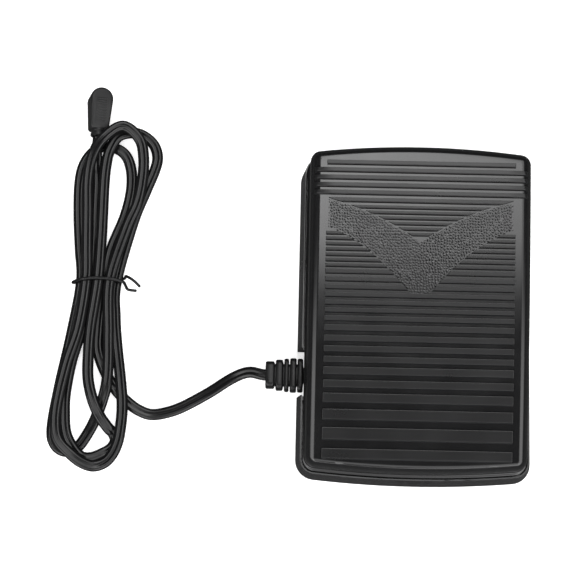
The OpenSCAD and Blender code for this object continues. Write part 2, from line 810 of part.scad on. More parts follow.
// Rubber boot: collared neck in the notch wall and five blocks on a flexible core
module strain_relief() color(rubber_black)
    difference() {
        union() {
            boot_block(4.6, 2.6, 12, 5, 1);
            boot_block(3, -0.6, 7.6, 5, 0.5);
            boot_block(-0.3, -3, 15.7, 8.4, 2);
            boot_block(-3.4, -6.5, 15.7, 10.2, 2.4);
            boot_block(-7, -9.2, 15.2, 10, 2.4);
            boot_block(-9.8, -13.2, 14.2, 9.6, 2.4);
            boot_block(-13.8, -18, 12.6, 9, 2.4);
            boot_block(-0.3, -17, 10.4, 7.2, 2);
        }
        for (side = [-1, 1])
            translate([-80, boot_y + side * (cord_w - cord_t) / 2, boot_z])
                rotate([0, 90, 0]) cylinder(r = cord_t / 2 + 0.06, h = 50, $fn = 32);
        translate([-80, boot_y - (cord_w - cord_t) / 2, boot_z - cord_t / 2 - 0.06])
            cube([50, cord_w - cord_t, cord_t + 0.12]);
    }

// Section of the flex: two round cores joined side by side
function flex_section() = let (r = cord_t / 2, c = (cord_w - cord_t) / 2) concat(
    [for (a = [-120:48:120]) [c + r * cos(a), r * sin(a)]],
    [for (a = [60:48:300]) [-c + r * cos(a), r * sin(a)]]);

// Height of the flex where it lies on the floor, and in the two rows inside the tie
rest_z = cord_t / 2 + 0.02;
tie_low_z = 3.3;
tie_high_z = 6.7;
// Places of the seven strands inside the tie, from left to right, in two rows
function tie_slot(i) = [tie_x + 2.8 * (i - 3), tie_y, i % 2 == 0 ? tie_low_z : tie_high_z];

// From the boot over the floor to the tie
lead_run = [
    [clamp_x + 2, boot_y, boot_z], [-half_w - 5, boot_y, boot_z], [-half_w - 18, boot_y, boot_z],
    [-half_w - 19.5, boot_y, boot_z],
    [-78, -27.2, 6], [-86, -30, 3.6], [-97, -37, 1.8], [-109, -43.8, rest_z], [-117, -46.8, rest_z],
    [-124, -47.8, rest_z], [-130, -45.8, rest_z], [-135.5, -42, rest_z], [-141, -36.5, rest_z],
    [-146, -29, rest_z], [-150.5, -18, rest_z], [-150.8, -7, rest_z], [-150, 4.5, 2.4], tie_slot(4)
];
// Rear left loop above the tie
rear_left_loop = [
    [-146.5, 31.5, 2.2], [-140.5, 49, rest_z], [-138, 63, rest_z], [-139, 74, rest_z], [-143, 81, rest_z],
    [-151, 84, rest_z], [-157.5, 81, rest_z], [-162, 74, rest_z], [-163.5, 64, rest_z],
    [-163, 48, rest_z], [-161.5, 32, 2.2], tie_slot(0)
];
// Outer loop below the tie, crossing back under the others
outer_left_loop = [
    [-163.5, -9.5, 1.8], [-168, -35, rest_z], [-170.5, -54.5, rest_z], [-169, -62.5, rest_z],
    [-164, -66, rest_z], [-158, -64, rest_z], [-152.5, -55.5, rest_z], [-148.5, -46, 2.8],
    [-145.5, -35.5, 5], [-145, -24, 5.1], [-145.5, -9, 5.5], tie_slot(5)
];
// Front loop above the tie, over the cord end of the plug
front_loop = [
    [-139, 40.5, 8.2], [-134, 53.5, 8.7], [-132, 65.5, 8.7], [-132, 77, 8.7], [-134.5, 86, 8.9],
    [-142.5, 92, 10], [-151.5, 85.5, 11.2], [-156.5, 77.5, 9.8], [-158.5, 65.5, 8.6], [-158, 49.5, 8.2],
    [-157.5, 33.5, 7.6], tie_slot(1)
];
// Lowest loop below the tie
lowest_loop = [
    [-159.5, -7.5, 7.8], [-164, -24.5, 8.5], [-167.5, -43, 8.6], [-168, -54.5, 8.6], [-166, -62, 8.6],
    [-160.5, -67.5, 8.5], [-155, -71.5, 7.6], [-149, -73, 6.2], [-143, -70, 5.6], [-139, -62.5, 5.4],
    [-137.5, -52, 5.4], [-137.5, -42.5, 5.1], [-139, -30.5, 4.4], [-141.5, -15.5, 1.9], [-143, -1.5, 2], tie_slot(6)
];
// Rear right loop above the tie
rear_right_loop = [
    [-136, 45, 4.8], [-130.5, 60.5, 5.1], [-126.5, 71.5, 5.1], [-125.5, 78, 5.1], [-127.5, 84, 5.1],
    [-132.5, 88.5, 5.1], [-138, 90, 5.1], [-145, 88, 5.1], [-149, 81, 5.1], [-150.5, 73, 5.1],
    [-151, 63.5, 5.1], [-151, 49, 5.2], [-151, 36, 5.7], tie_slot(3)
];
// Inner loop below the tie, with a tight turn under the lowest loop
inner_loop = [
    [-154, -6.5, 6.1], [-154.5, -21, 5.8], [-154, -32, 5.8], [-151.5, -41.5, 6.2], [-148, -49, 5.6],
    [-144, -54.5, 3.2], [-141.5, -57, rest_z], [-140.3, -60.5, rest_z], [-142, -64, rest_z],
    [-145.5, -66.5, 2.2], [-151, -69, 3.8], [-156, -68.5, 5.1], [-160.5, -63.5, 5.1], [-163.5, -57, 5.1],
    [-164.5, -48, 5.1], [-164.5, -38.5, 5.1], [-162.5, -24, 5], [-159.5, -12, 4.3], [-156.5, 1.5, 2.6], tie_slot(2)
];
// Last run, from the tie up to the plug
plug_run = [
    [-154, 35, 2], [-154.5, 51, rest_z], [-154.5, 63.5, rest_z], [-155, 71, 2.2], [-155.3, 77, 4.5],
    [-155.4, 81.5, 5.3], [plug_x + plug_neck_z * sin(plug_roll), plug_neck_y - 2,
                          plug_lift + plug_neck_z * cos(plug_roll)],
    [plug_x + plug_neck_z * sin(plug_roll), plug_neck_y + 2.8, plug_lift + plug_neck_z * cos(plug_roll)]
];
cord_points = concat(lead_run, rear_left_loop, outer_left_loop, front_loop, lowest_loop,
                     rear_right_loop, inner_loop, plug_run);

module cord() color("#18181a")
    level_sweep(smooth_path(cord_points, 3), flex_section());

// Thin sheathed wire wrapped once round the bundle, its two ends crossed on the right
module twist_tie() color(rubber_black) {
    wire_r = 0.7;
    half_bundle = 12.5;
    top_z = 9.5;
    path = smooth_path([
        [tie_x + 20.3, tie_y - 2.6, 6], [tie_x + 16.8, tie_y + 0.6, 6.2], [tie_x + 13.3, tie_y + 2.7, 4.8],
        [tie_x + 12.1, tie_y + 2.4, 1.5], [tie_x + 8.4, tie_y + 1.6, wire_r + 0.02],
        [tie_x, tie_y + 1.4, wire_r + 0.02], [tie_x - 8, tie_y + 0.6, wire_r + 0.02],
        [tie_x - 11.7, tie_y - 0.2, 1.4], [tie_x - half_bundle, tie_y - 0.6, 3.6],
        [tie_x - 11.2, tie_y - 0.4, 5.9], [tie_x - 7, tie_y + 0.2, top_z], [tie_x, tie_y + 0.8, top_z + 0.1],
        [tie_x + 7, tie_y + 0.4, top_z], [tie_x + 12, tie_y - 0.6, 8], [tie_x + 13.2, tie_y - 2, 4.6],
        [tie_x + 14.2, tie_y - 3.4, 3], [tie_x + 18.4, tie_y - 4, 3.4]
    ], 4);
    sweep(path, [for (i = [0:len(path) - 1]) unit(cross(tangent(path, i), [0, 1, 0.02]))], ring(wire_r, 8));
}

// ---- Plug ----

module in_plug_frame()
    translate([plug_x, 0, plug_lift]) rotate([0, plug_roll, 0]) children();

module plug_plan() {
    head_y = 105.5;
    hull() {
        translate([0, head_y]) circle(r = plug_half_w, $fn = 32);
        translate([-4.6, plug_neck_y + 3]) square([9.2, 2]);
    }
}

module plug_body() color(rubber_black)
    in_plug_frame()
        difference() {
            union() {
                intersection() {
                    linear_extrude(height = 20) plug_plan();
                    rotate([90, 0, 90])
                        translate([0, 0, -10])
                            linear_extrude(height = 20)
                                polygon([[88, 0], [114, 0], [114, 11.2], [103, 11.2], [88, 7.4]]);
                }
                translate([0, plug_neck_y, plug_neck_z])
                    rotate([-90, 0, 0]) cylinder(r = 3.8, h = 5, $fn = 48);
            }
            translate([0, plug_neck_y - 1, plug_neck_z])
                rotate([-90, 0, 0]) cylinder(r = 2.95, h = 4, $fn = 48);
            for (y = contact_ys)
                translate([0, y, -1]) cylinder(r = 1.95, h = 9.4, $fn = 48);
        }

// Two round sockets that open on the underside of the plug
module plug_contacts() color(brass)
    in_plug_frame()
        for (y = contact_ys)
            translate([0, y, 0.2])
                difference() {
                    cylinder(r = 1.9, h = 8.1, $fn = 48);
                    translate([0, 0, -1]) cylinder(r = 1.2, h = 8.6, $fn = 48);
                }

base_shell();
treadle_cover();
hinge_pin();
hinge_caps();
hinge_cap_screws();
rubber_feet();
return_spring_left();
return_spring_right();
stop_bumpers();
speed_plunger();
plunger_spring();
plunger_guide();
guide_screws();
pot_pinion();
pot_shaft();
pot_body();
circuit_board();
board_screws();
triac();
heat_sink();
triac_screw();
suppression_capacitor();
timing_capacitors();
choke_core();
choke_winding();
resistors();
diac();
fuse();
terminal_block();
terminal_screws();
cord_clamp();
cord_clamp_screws();
lead_live();
lead_neutral();
strain_relief();
cord();
plug_body();
plug_contacts();
twist_tie();
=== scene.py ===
"""Looks of a sewing machine foot pedal with its tied flex and plug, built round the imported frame.

All shapes are worked out in millimetres and scaled once, when a mesh is made.
+X is the right side, +Y the toe end, +Z up, and the origin is on the floor under the pedal.
"""

import math

import bmesh
import bpy
import numpy as np
from mathutils import Matrix, Vector


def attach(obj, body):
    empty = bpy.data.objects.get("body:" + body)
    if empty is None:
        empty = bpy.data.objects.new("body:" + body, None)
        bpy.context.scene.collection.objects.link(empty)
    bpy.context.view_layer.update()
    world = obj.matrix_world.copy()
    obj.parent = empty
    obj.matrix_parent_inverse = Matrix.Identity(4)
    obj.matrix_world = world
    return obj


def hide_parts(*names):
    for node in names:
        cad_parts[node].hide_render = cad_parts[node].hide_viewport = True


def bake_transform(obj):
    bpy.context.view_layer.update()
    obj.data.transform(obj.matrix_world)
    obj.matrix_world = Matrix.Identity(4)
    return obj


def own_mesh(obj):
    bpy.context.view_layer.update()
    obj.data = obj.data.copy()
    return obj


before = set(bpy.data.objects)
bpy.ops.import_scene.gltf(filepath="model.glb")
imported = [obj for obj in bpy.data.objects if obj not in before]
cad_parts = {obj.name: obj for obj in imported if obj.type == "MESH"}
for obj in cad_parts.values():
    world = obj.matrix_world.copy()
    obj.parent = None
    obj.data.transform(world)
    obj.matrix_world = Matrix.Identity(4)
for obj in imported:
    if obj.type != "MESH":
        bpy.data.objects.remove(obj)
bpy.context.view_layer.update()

MM = 0.001

# ---- Driving sizes, most of them as in the frame ----

HALF_W = 52.0
HALF_L = 76.0
LIP_HEEL_Z, LIP_TOE_Z = 12.5, 20.5
TOP_HEEL_Z, TOP_TOE_Z = 25.0, 47.0
TOP_BOW, TOE_BOW, HEEL_BOW = 2.5, 3.4, 2.8
CORNER_R = 6.0
SHELL_T = 2.2
FLANGE_W, FLANGE_END_W = 1.0, 0.6
SHOULDER_W = 4.2
CREASE = math.radians(15)
SHOULDER_R = SHOULDER_W / (1 - math.sin(CREASE))
BAR_H = 0.8
FLOOR_TOP = 4.5
HINGE_Y, HINGE_Z = -66.0, 12.0
RETURN_SPRING_X, RETURN_SPRING_Y, RETURN_SPRING_TOP = 38.0, 45.0, 35.4
PLUNGER_X, PLUNGER_Y, PLUNGER_SPRING_TOP = 22.0, 18.5, 26.0
BOOT_Y, BOOT_Z = -28.5, 7.2
CORD_W, CORD_T = 5.4, 3.1
TIE_X, TIE_Y = -151.5, 15.5
PLUG_X, PLUG_ROLL, PLUG_HALF_W = -156.3, math.radians(18), 5.5
PLUG_LIFT = PLUG_HALF_W * math.sin(PLUG_ROLL) + 0.01
PLUG_NECK_Y, PLUG_NECK_Z, PLUG_HEAD_Y = 87.6, 4.4, 105.5

FACE_SLOPE = math.atan2(TOP_TOE_Z - TOP_HEEL_Z, 2 * HALF_L)
FACE_CHORD = math.hypot(2 * HALF_L, TOP_TOE_Z - TOP_HEEL_Z)
FACE_R = ((FACE_CHORD / 2) ** 2 + TOP_BOW ** 2) / (2 * TOP_BOW)
FACE_CY = (FACE_R - TOP_BOW) * math.sin(FACE_SLOPE)
FACE_CZ = (TOP_HEEL_Z + TOP_TOE_Z) / 2 - (FACE_R - TOP_BOW) * math.cos(FACE_SLOPE)
V_TO_Y = math.cos(FACE_SLOPE)
TOE_R = (HALF_W ** 2 + TOE_BOW ** 2) / (2 * TOE_BOW)
HEEL_R = (HALF_W ** 2 + HEEL_BOW ** 2) / (2 * HEEL_BOW)
CORNER_X = HALF_W - CORNER_R
TOE_CY = HALF_L - TOE_R
HEEL_CY = HEEL_R - HALF_L
TOE_CORNER_Y = TOE_CY + math.sqrt((TOE_R - CORNER_R) ** 2 - CORNER_X ** 2)
HEEL_CORNER_Y = HEEL_CY - math.sqrt((HEEL_R - CORNER_R) ** 2 - CORNER_X ** 2)


def lip_z(y):
    """Height of the treadle's bottom edge."""
    return LIP_HEEL_Z + (y + HALF_L) * (LIP_TOE_Z - LIP_HEEL_Z) / (2 * HALF_L)


def face_z(y):
    """Height of the bowed top face."""
    return FACE_CZ + np.sqrt(FACE_R ** 2 - (y - FACE_CY) ** 2)


# ---- Mesh helpers ----


class Shape:
    """Vertices in millimetres and faces, gathered from several lofts into one mesh."""

    def __init__(self):
        self.vertices = []
        self.faces = []

    def loft(self, rings, cap_start=True, cap_end=True, closed=True):
        """Joins rings of equal length; closed says whether each ring goes round."""
        start = len(self.vertices)
        count = len(rings[0])
        for ring in rings:
            self.vertices.extend(tuple(float(c) for c in p) for p in ring)
        last = count if closed else count - 1
        for i in range(len(rings) - 1):
            for j in range(last):
                a = start + i * count + j
                b = start + i * count + (j + 1) % count
                self.faces.append((a, b, b + count, a + count))
        if cap_start:
            self.faces.append(tuple(start + j for j in reversed(range(count))))
        if cap_end:
            end = start + (len(rings) - 1) * count
            self.faces.append(tuple(end + j for j in range(count)))

    def make(self, name, material, smooth_angle=35.0):
        mesh = bpy.data.meshes.new(name)
        scaled = [(x * MM, y * MM, z * MM) for x, y, z in self.vertices]
        mesh.from_pydata(scaled, [], self.faces)
        mesh.validate()
        mesh.materials.append(material)
        obj = bpy.data.objects.new(name, mesh)
        bpy.context.collection.objects.link(obj)
        recalculate_normals(mesh)
        smooth_by_angle(mesh, smooth_angle)
        return obj


def recalculate_normals(mesh):
    work = bmesh.new()
    work.from_mesh(mesh)
    bmesh.ops.recalc_face_normals(work, faces=work.faces)
    work.to_mesh(mesh)
    work.free()


def smooth_by_angle(mesh, angle):
    mesh.polygons.foreach_set("use_smooth", [True] * len(mesh.polygons))
    mesh.set_sharp_from_angle(angle=math.radians(angle))


def smooth_path(points, steps):
    """Curve through the points, with the given steps between neighbours."""
    p = np.array(points, dtype=float)
    out = []
    for i in range(len(p) - 1):
        a, b, c, d = p[max(i - 1, 0)], p[i], p[i + 1], p[min(i + 2, len(p) - 1)]
        for k in range(steps):
            t = k / steps
            out.append(0.5 * (2 * b + (c - a) * t + (2 * a - 5 * b + 4 * c - d) * t ** 2
                              + (3 * b - a - 3 * c + d) * t ** 3))
    out.append(p[-1])
    return np.array(out)


def tangents(path):
    ahead = np.vstack([path[1:], path[-1:]])
    behind = np.vstack([path[:1], path[:-1]])
    t = ahead - behind
    return t / np.linalg.norm(t, axis=1, keepdims=True)


def sweep_rings(path, section, across=None):
    """Rings of the section carried along the path; its first axis stays level, or follows across."""
    t = tangents(path)
    if across is None:
        across = np.cross(t, (0, 0, 1))
        across /= np.linalg.norm(across, axis=1, keepdims=True)
    up = np.cross(across, t)
    s = np.array(section)
    return [middle + np.outer(s[:, 0], a) + np.outer(s[:, 1], b) for middle, a, b in zip(path, across, up)]


def circle_points(radius, count):
    angles = [2 * math.pi * j / count for j in range(count)]
    return [(radius * math.cos(a), radius * math.sin(a)) for a in angles]


def lathe(shape, x, y, profile, count=32):
    """Turned form round a vertical axis; the profile is a list of (radius, height)."""
    shape.loft([[(x + px, y + py, z) for px, py in circle_points(r, count)] for r, z in profile])


def rounded_rectangle(width, height, radius, corner_steps=5):
    """Points of a rounded rectangle round its own middle."""
    out = []
    for quarter in range(4):
        cx = (width / 2 - radius) * (1 if quarter in (0, 3) else -1)
        cy = (height / 2 - radius) * (1 if quarter in (0, 1) else -1)
        for k in range(corner_steps + 1):
            a = math.pi / 2 * (quarter + k / corner_steps)
            out.append((cx + radius * math.cos(a), cy + radius * math.sin(a)))
    return out


def soft_block(shape, x0, x1, y0, y1, z0, z1, radius=0.6):
    """Upright block with rounded corners and a softened lower edge."""
    cx, cy = (x0 + x1) / 2, (y0 + y1) / 2
    rings = []
    for inset, z in ((radius, z0), (radius * 0.3, z0 + radius * 0.3), (0, z0 + radius), (0, z1)):
        corner = max(radius - inset, 0.05) + 0.1
        plan = rounded_rectangle(x1 - x0 - 2 * inset, y1 - y0 - 2 * inset, corner)
        rings.append([(cx + px, cy + py, z) for px, py in plan])
    shape.loft(rings)


# ---- Materials ----


def material_nodes(name):
    material = bpy.data.materials.new(name)
    material.use_nodes = True
    nodes = material.node_tree.nodes
    return material, nodes, material.node_tree.links, nodes["Principled BSDF"]


def noise_from(nodes, links, size_mm, detail=3.0, stretch=(1, 1, 1)):
    """Noise whose features are about size_mm across, laid out in object space."""
    place = nodes.new("ShaderNodeTexCoord")
    mapping = nodes.new("ShaderNodeMapping")
    mapping.inputs["Scale"].default_value = stretch
    noise = nodes.new("ShaderNodeTexNoise")
    noise.inputs["Scale"].default_value = 1 / (size_mm * MM)
    noise.inputs["Detail"].default_value = detail
    links.new(place.outputs["Object"], mapping.inputs["Vector"])
    links.new(mapping.outputs["Vector"], noise.inputs["Vector"])
    return noise.outputs["Fac"]


def spread(nodes, links, value, low, high, from_low=0.3, from_high=0.7):
    """Maps a noise value to the range low..high."""
    node = nodes.new("ShaderNodeMapRange")
    node.inputs["From Min"].default_value = from_low
    node.inputs["From Max"].default_value = from_high
    node.inputs["To Min"].default_value = low
    node.inputs["To Max"].default_value = high
    links.new(value, node.inputs["Value"])
    return node.outputs["Result"]


def varied_colour(nodes, links, value, colour, variation):
    """Colour that drifts darker and lighter by the given share."""
    mix = nodes.new("ShaderNodeMix")
    mix.data_type = "RGBA"
    mix.inputs["A"].default_value = tuple(c * (1 - variation) for c in colour) + (1,)
    mix.inputs["B"].default_value = tuple(min(1, c * (1 + variation)) for c in colour) + (1,)
    links.new(value, mix.inputs["Factor"])
    return mix.outputs["Result"]


def finish_material(name, colour, roughness, grain_mm=0.5, grain_depth_mm=0.01, metallic=0.0,
                    variation=0.15, roughness_drift=0.06, drift_mm=18.0, stretch=(1, 1, 1), specular=0.5):
    """Moulded, rubbery or metal finish: drifting colour and gloss, with a fine grain in the surface."""
    material, nodes, links, shader = material_nodes(name)
    drift = noise_from(nodes, links, drift_mm, 4.0)
    grain = noise_from(nodes, links, grain_mm, 5.0, stretch)
    links.new(varied_colour(nodes, links, drift, colour, variation), shader.inputs["Base Color"])
    links.new(spread(nodes, links, drift, roughness - roughness_drift, roughness + roughness_drift),
              shader.inputs["Roughness"])
    bump = nodes.new("ShaderNodeBump")
    bump.inputs["Strength"].default_value = 1.0
    bump.inputs["Distance"].default_value = grain_depth_mm * MM
    links.new(grain, bump.inputs["Height"])
    links.new(bump.outputs["Normal"], shader.inputs["Normal"])
    shader.inputs["Metallic"].default_value = metallic
    shader.inputs["Specular IOR Level"].default_value = specular
    return material


def board_material(name):
    """Green laminate with copper runs showing faintly through the mask."""
    material, nodes, links, shader = material_nodes(name)
    place = nodes.new("ShaderNodeTexCoord")
    runs = nodes.new("ShaderNodeTexBrick")
    runs.inputs["Scale"].default_value = 1.0
    runs.inputs["Brick Width"].default_value = 7 * MM
    runs.inputs["Row Height"].default_value = 3 * MM
    runs.inputs["Mortar Size"].default_value = 0.45 * MM
    runs.inputs["Mortar Smooth"].default_value = 0.2
    runs.inputs["Color1"].default_value = (0.015, 0.11, 0.04, 1)
    runs.inputs["Color2"].default_value = (0.02, 0.15, 0.055, 1)
    runs.inputs["Mortar"].default_value = (0.05, 0.22, 0.08, 1)
    links.new(place.outputs["Object"], runs.inputs["Vector"])
    links.new(runs.outputs["Color"], shader.inputs["Base Color"])
    drift = noise_from(nodes, links, 6.0)
    links.new(spread(nodes, links, drift, 0.25, 0.45), shader.inputs["Roughness"])
    bump = nodes.new("ShaderNodeBump")
    bump.inputs["Distance"].default_value = 0.03 * MM
    links.new(runs.outputs["Fac"], bump.inputs["Height"])
    links.new(bump.outputs["Normal"], shader.inputs["Normal"])
    return material


gloss_black = finish_material("gloss_black_abs", (0.0075, 0.0075, 0.0078), 0.16, 0.35, 0.0016,
                              variation=0.2, roughness_drift=0.03)
satin_black = finish_material("satin_black_abs", (0.009, 0.009, 0.0093), 0.24, 0.3, 0.004,
                              variation=0.2, roughness_drift=0.04)
bar_black = finish_material("bar_top_abs", (0.008, 0.008, 0.0083), 0.29, 0.3, 0.003,
                            variation=0.2, roughness_drift=0.02, specular=0.36)
pebble_black = finish_material("pebbled_black_abs", (0.009, 0.009, 0.0093), 0.16, 0.3, 0.004,
                               variation=0.25, roughness_drift=0.04)
flex_black = finish_material("flex_black_pvc", (0.006, 0.006, 0.0063), 0.2, 0.8, 0.003,
                             variation=0.25, roughness_drift=0.04, drift_mm=9.0, specular=0.3)
plug_black = finish_material("plug_black_pvc", (0.009, 0.009, 0.0093), 0.38, 0.35, 0.008,
                             variation=0.2, specular=0.28)
rubber_black = finish_material("rubber_black", (0.007, 0.007, 0.0072), 0.33, 0.4, 0.008,
                               variation=0.3, drift_mm=6.0, specular=0.25)
dark_plastic = finish_material("dark_grey_plastic", (0.03, 0.03, 0.034), 0.42, 0.3, 0.01)
steel = finish_material("zinc_plated_steel", (0.55, 0.56, 0.58), 0.28, 0.6, 0.006, metallic=1.0,
                        variation=0.12, stretch=(1, 1, 6))
brass = finish_material("brass", (0.62, 0.42, 0.14), 0.25, 0.5, 0.005, metallic=1.0, stretch=(6, 1, 1))
aluminium = finish_material("aluminium", (0.66, 0.68, 0.7), 0.35, 0.5, 0.01, metallic=1.0,
                            stretch=(1, 12, 1))
copper = finish_material("enamelled_copper", (0.5, 0.17, 0.06), 0.22, 0.4, 0.004, metallic=1.0)
acetal = finish_material("natural_acetal", (0.68, 0.66, 0.58), 0.42, 0.5, 0.008, variation=0.06)
board_green = board_material("board_green")


def tinted(name, colour, roughness=0.4):
    return finish_material(name, colour, roughness, 0.4, 0.01, variation=0.12)


NODE_FINISH = {
    "base_shell": satin_black,
    "hinge_pin": steel,
    "hinge_caps": dark_plastic,
    "hinge_cap_screws": steel,
    "rubber_feet": rubber_black,
    "stop_bumpers": rubber_black,
    "speed_plunger": acetal,
    "plunger_guide": dark_plastic,
    "guide_screws": steel,
    "pot_pinion": acetal,
    "pot_shaft": brass,
    "pot_body": tinted("control_blue", (0.04, 0.075, 0.2)),
    "circuit_board": board_green,
    "board_screws": steel,
    "triac": tinted("epoxy_black", (0.018, 0.018, 0.02), 0.5),
    "heat_sink": aluminium,
    "triac_screw": steel,
    "suppression_capacitor": tinted("capacitor_yellow", (0.62, 0.42, 0.05)),
    "timing_capacitors": tinted("capacitor_red", (0.35, 0.045, 0.025)),
    "choke_core": tinted("ferrite_grey", (0.05, 0.052, 0.058), 0.55),
    "choke_winding": copper,
    "resistors": tinted("resistor_tan", (0.55, 0.38, 0.18)),
    "diac": tinted("diac_blue", (0.05, 0.16, 0.42)),
    "fuse": tinted("fuse_ceramic", (0.7, 0.7, 0.68), 0.25),
    "terminal_block": tinted("terminal_teal", (0.05, 0.22, 0.32)),
    "terminal_screws": steel,
    "cord_clamp": dark_plastic,
    "cord_clamp_screws": steel,
    "lead_live": tinted("lead_brown", (0.19, 0.07, 0.025)),
    "lead_neutral": tinted("lead_blue", (0.03, 0.12, 0.4)),
    "plug_contacts": brass,
}
PLAIN_BEVEL_MM = 0.1
BEVEL_MM = {"base_shell": 0.35, "heat_sink": 0.15, "circuit_board": 0.12}


def finish_cad_nodes():
    """Gives each carried-over node its material, welded seams and softened edges."""
    for name, material in NODE_FINISH.items():
        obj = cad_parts[name]
        obj.data.materials.clear()
        obj.data.materials.append(material)
        weld = obj.modifiers.new("weld", "WELD")
        weld.merge_threshold = 0.002 * MM
        bevel = obj.modifiers.new("soft_edges", "BEVEL")
        bevel.width = BEVEL_MM.get(name, PLAIN_BEVEL_MM) * MM
        bevel.segments = 2
        bevel.limit_method = "ANGLE"
        bevel.angle_limit = math.radians(50)


# ---- Treadle cover ----


def arc(centre, radius, start, stop, steps, skip=0):
    """Points of an arc with its angles in radians, leaving out skip points at each end."""
    angles = np.linspace(start, stop, steps + 1)
    if skip:
        angles = angles[skip:-skip]
    return [(centre[0] + radius * math.cos(a), centre[1] + radius * math.sin(a)) for a in angles]


def plan_outline(inset, end_inset, heel_out=0.0):
    """Treadle's outline from above, moved inwards, its heel end heel_out less; always as many points."""
    corner_steps, end_steps, side_steps = 10, 36, 40
    pi = math.pi
    corner = CORNER_R - inset
    toe_y, heel_y = TOE_CORNER_Y - end_inset, HEEL_CORNER_Y + end_inset - heel_out
    toe_middle, heel_middle = (0, TOE_CY - end_inset), (0, HEEL_CY + end_inset - heel_out)
    toe_a = math.atan2(TOE_CORNER_Y - TOE_CY, CORNER_X)
    heel_a = math.atan2(HEEL_CY - HEEL_CORNER_Y, CORNER_X)
    side = np.linspace(toe_y, heel_y, side_steps + 1)[1:-1]
    points = arc((CORNER_X, toe_y), corner, 0, toe_a, corner_steps)
    points += arc(toe_middle, TOE_R - inset, toe_a, pi - toe_a, end_steps, 1)
    points += arc((-CORNER_X, toe_y), corner, pi - toe_a, pi, corner_steps)
    points += [(-HALF_W + inset, y) for y in side]
    points += arc((-CORNER_X, heel_y), corner, pi, pi + heel_a, corner_steps)
    points += arc(heel_middle, HEEL_R - inset, pi + heel_a, 2 * pi - heel_a, end_steps, 1)
    points += arc((CORNER_X, heel_y), corner, 2 * pi - heel_a, 2 * pi, corner_steps)
    points += [(HALF_W - inset, y) for y in side[::-1]]
    return np.array(points)


def outline_ring(inset, end_inset, height, heel_out=0.0):
    """Ring on the outline; height gives z for an array of y."""
    plan = plan_outline(inset, end_inset, heel_out)
    return np.column_stack([plan, height(plan[:, 1])])


def face_rings(edge, drop):
    """Rings that shrink from an edge ring to the middle of the face, lowered by drop."""
    rings = []
    for scale in (0.985, 0.95, 0.88, 0.78, 0.66, 0.52, 0.38, 0.24, 0.12, 0.04):
        x, y = edge[:, 0] * scale, edge[:, 1] * scale
        rings.append(np.column_stack([x, y, face_z(y) - drop]))
    return rings


def shoulder_rings(inset, end_inset, radius, drop, steps=10):
    """Rounded shoulder from the wall inwards up to the face's crease; narrower at the heel end."""
    heel_share = 0.4
    rings = []
    for k in range(steps + 1):
        tilt = math.pi / 2 - (math.pi / 2 - CREASE) * k / steps
        inwards = inset + radius * (1 - math.sin(tilt))
        fall = drop + radius * (math.cos(CREASE) - math.cos(tilt))
        heel_out = heel_share * (inwards - inset)
        rings.append(outline_ring(inwards, end_inset, lambda y: face_z(y) - fall, heel_out))
    return rings


# The bottom flange from below, round its lip and up a cove into the wall: (share of its width, height)
LIP_PROFILE = [(0.45, 0.0), (0.2, 0.08), (0.05, 0.28), (0.0, 0.55), (0.06, 0.85), (0.2, 1.08), (0.4, 1.2),
               (0.62, 1.26), (0.8, 1.4), (0.93, 1.66), (1.0, 2.1)]


def cover_shell(shape):
    """Flange, wall, shoulder and face outside; then the hollow inside."""
    middle = FLANGE_W + SHELL_T * 0.5
    outside = [outline_ring(middle, FLANGE_END_W, lip_z)]
    for share, rise in LIP_PROFILE:
        outside.append(outline_ring(FLANGE_W * share, FLANGE_END_W * share, lambda y: lip_z(y) + rise))
    shoulder = shoulder_rings(FLANGE_W, FLANGE_END_W, SHOULDER_R, 0)
    shape.loft(outside + shoulder + face_rings(shoulder[-1], 0), cap_start=False)
    inner_wall, inner_r = FLANGE_W + SHELL_T, 1.5
    inside = [
        outline_ring(middle, FLANGE_END_W, lip_z),
        outline_ring(inner_wall, FLANGE_END_W, lip_z),
        outline_ring(inner_wall, FLANGE_END_W, lambda y: lip_z(y) + 1),
    ]
    corner = shoulder_rings(inner_wall, FLANGE_END_W, inner_r, SHELL_T, steps=4)
    shape.loft(inside + corner + face_rings(corner[-1], SHELL_T), cap_start=False)


FLAT_HALF_W = HALF_W - FLANGE_W - SHOULDER_W


def on_cover(u, v, h):
    """Point h above the cover, u across and v along the face's slope from its middle.

    Past the face's flat part it follows the shoulder.
    """
    y = v * V_TO_Y
    if abs(u) <= FLAT_HALF_W:
        return (u, y, float(face_z(y)) + h)
    tilt = CREASE + (abs(u) - FLAT_HALF_W) / SHOULDER_R
    x = FLAT_HALF_W + SHOULDER_R * (math.sin(tilt) - math.sin(CREASE)) + h * math.sin(tilt)
    z = float(face_z(y)) - SHOULDER_R * (math.cos(CREASE) - math.cos(tilt)) + h * math.cos(tilt)
    return (math.copysign(x, u), y, z)


# The grip bars from the toe end to the heel end: distance from each to the next, and the bar's share of it
BAR_PITCHES = ([3.5] * 5 + [3.4] + [2.47] * 12 + [3.55] * 6 + [4.1] + [4.8] * 4
               + [5.95, 5.95, 7.2, 8.3, 9.5, 8.0])
BAR_SHARE = 0.58
FIRST_BAR_V = 67.0
BAR_HALF_LEN = 43.3
BAR_ROOT_H = -0.25
# These bars run over both shoulders
WRAPPED_BARS = range(1, 5)
CHEVRON_HALF_W = 42.3


def chevron_high(u):
    """Toe edge of the chevron, as v at u across."""
    return 29.6 + 0.7 * u - 0.0058 * u * u


def chevron_low(u):
    """Heel edge of the chevron: level at its point, then rising."""
    return np.maximum(5.4, 0.27 + 1.33 * u - 0.0117 * u * u)


def edge_reach(edge, v):
    """How far out the chevron's edge comes to v, from its middle to its half width."""
    u = np.linspace(0, CHEVRON_HALF_W, 400)
    return float(np.interp(v, edge(u), u))


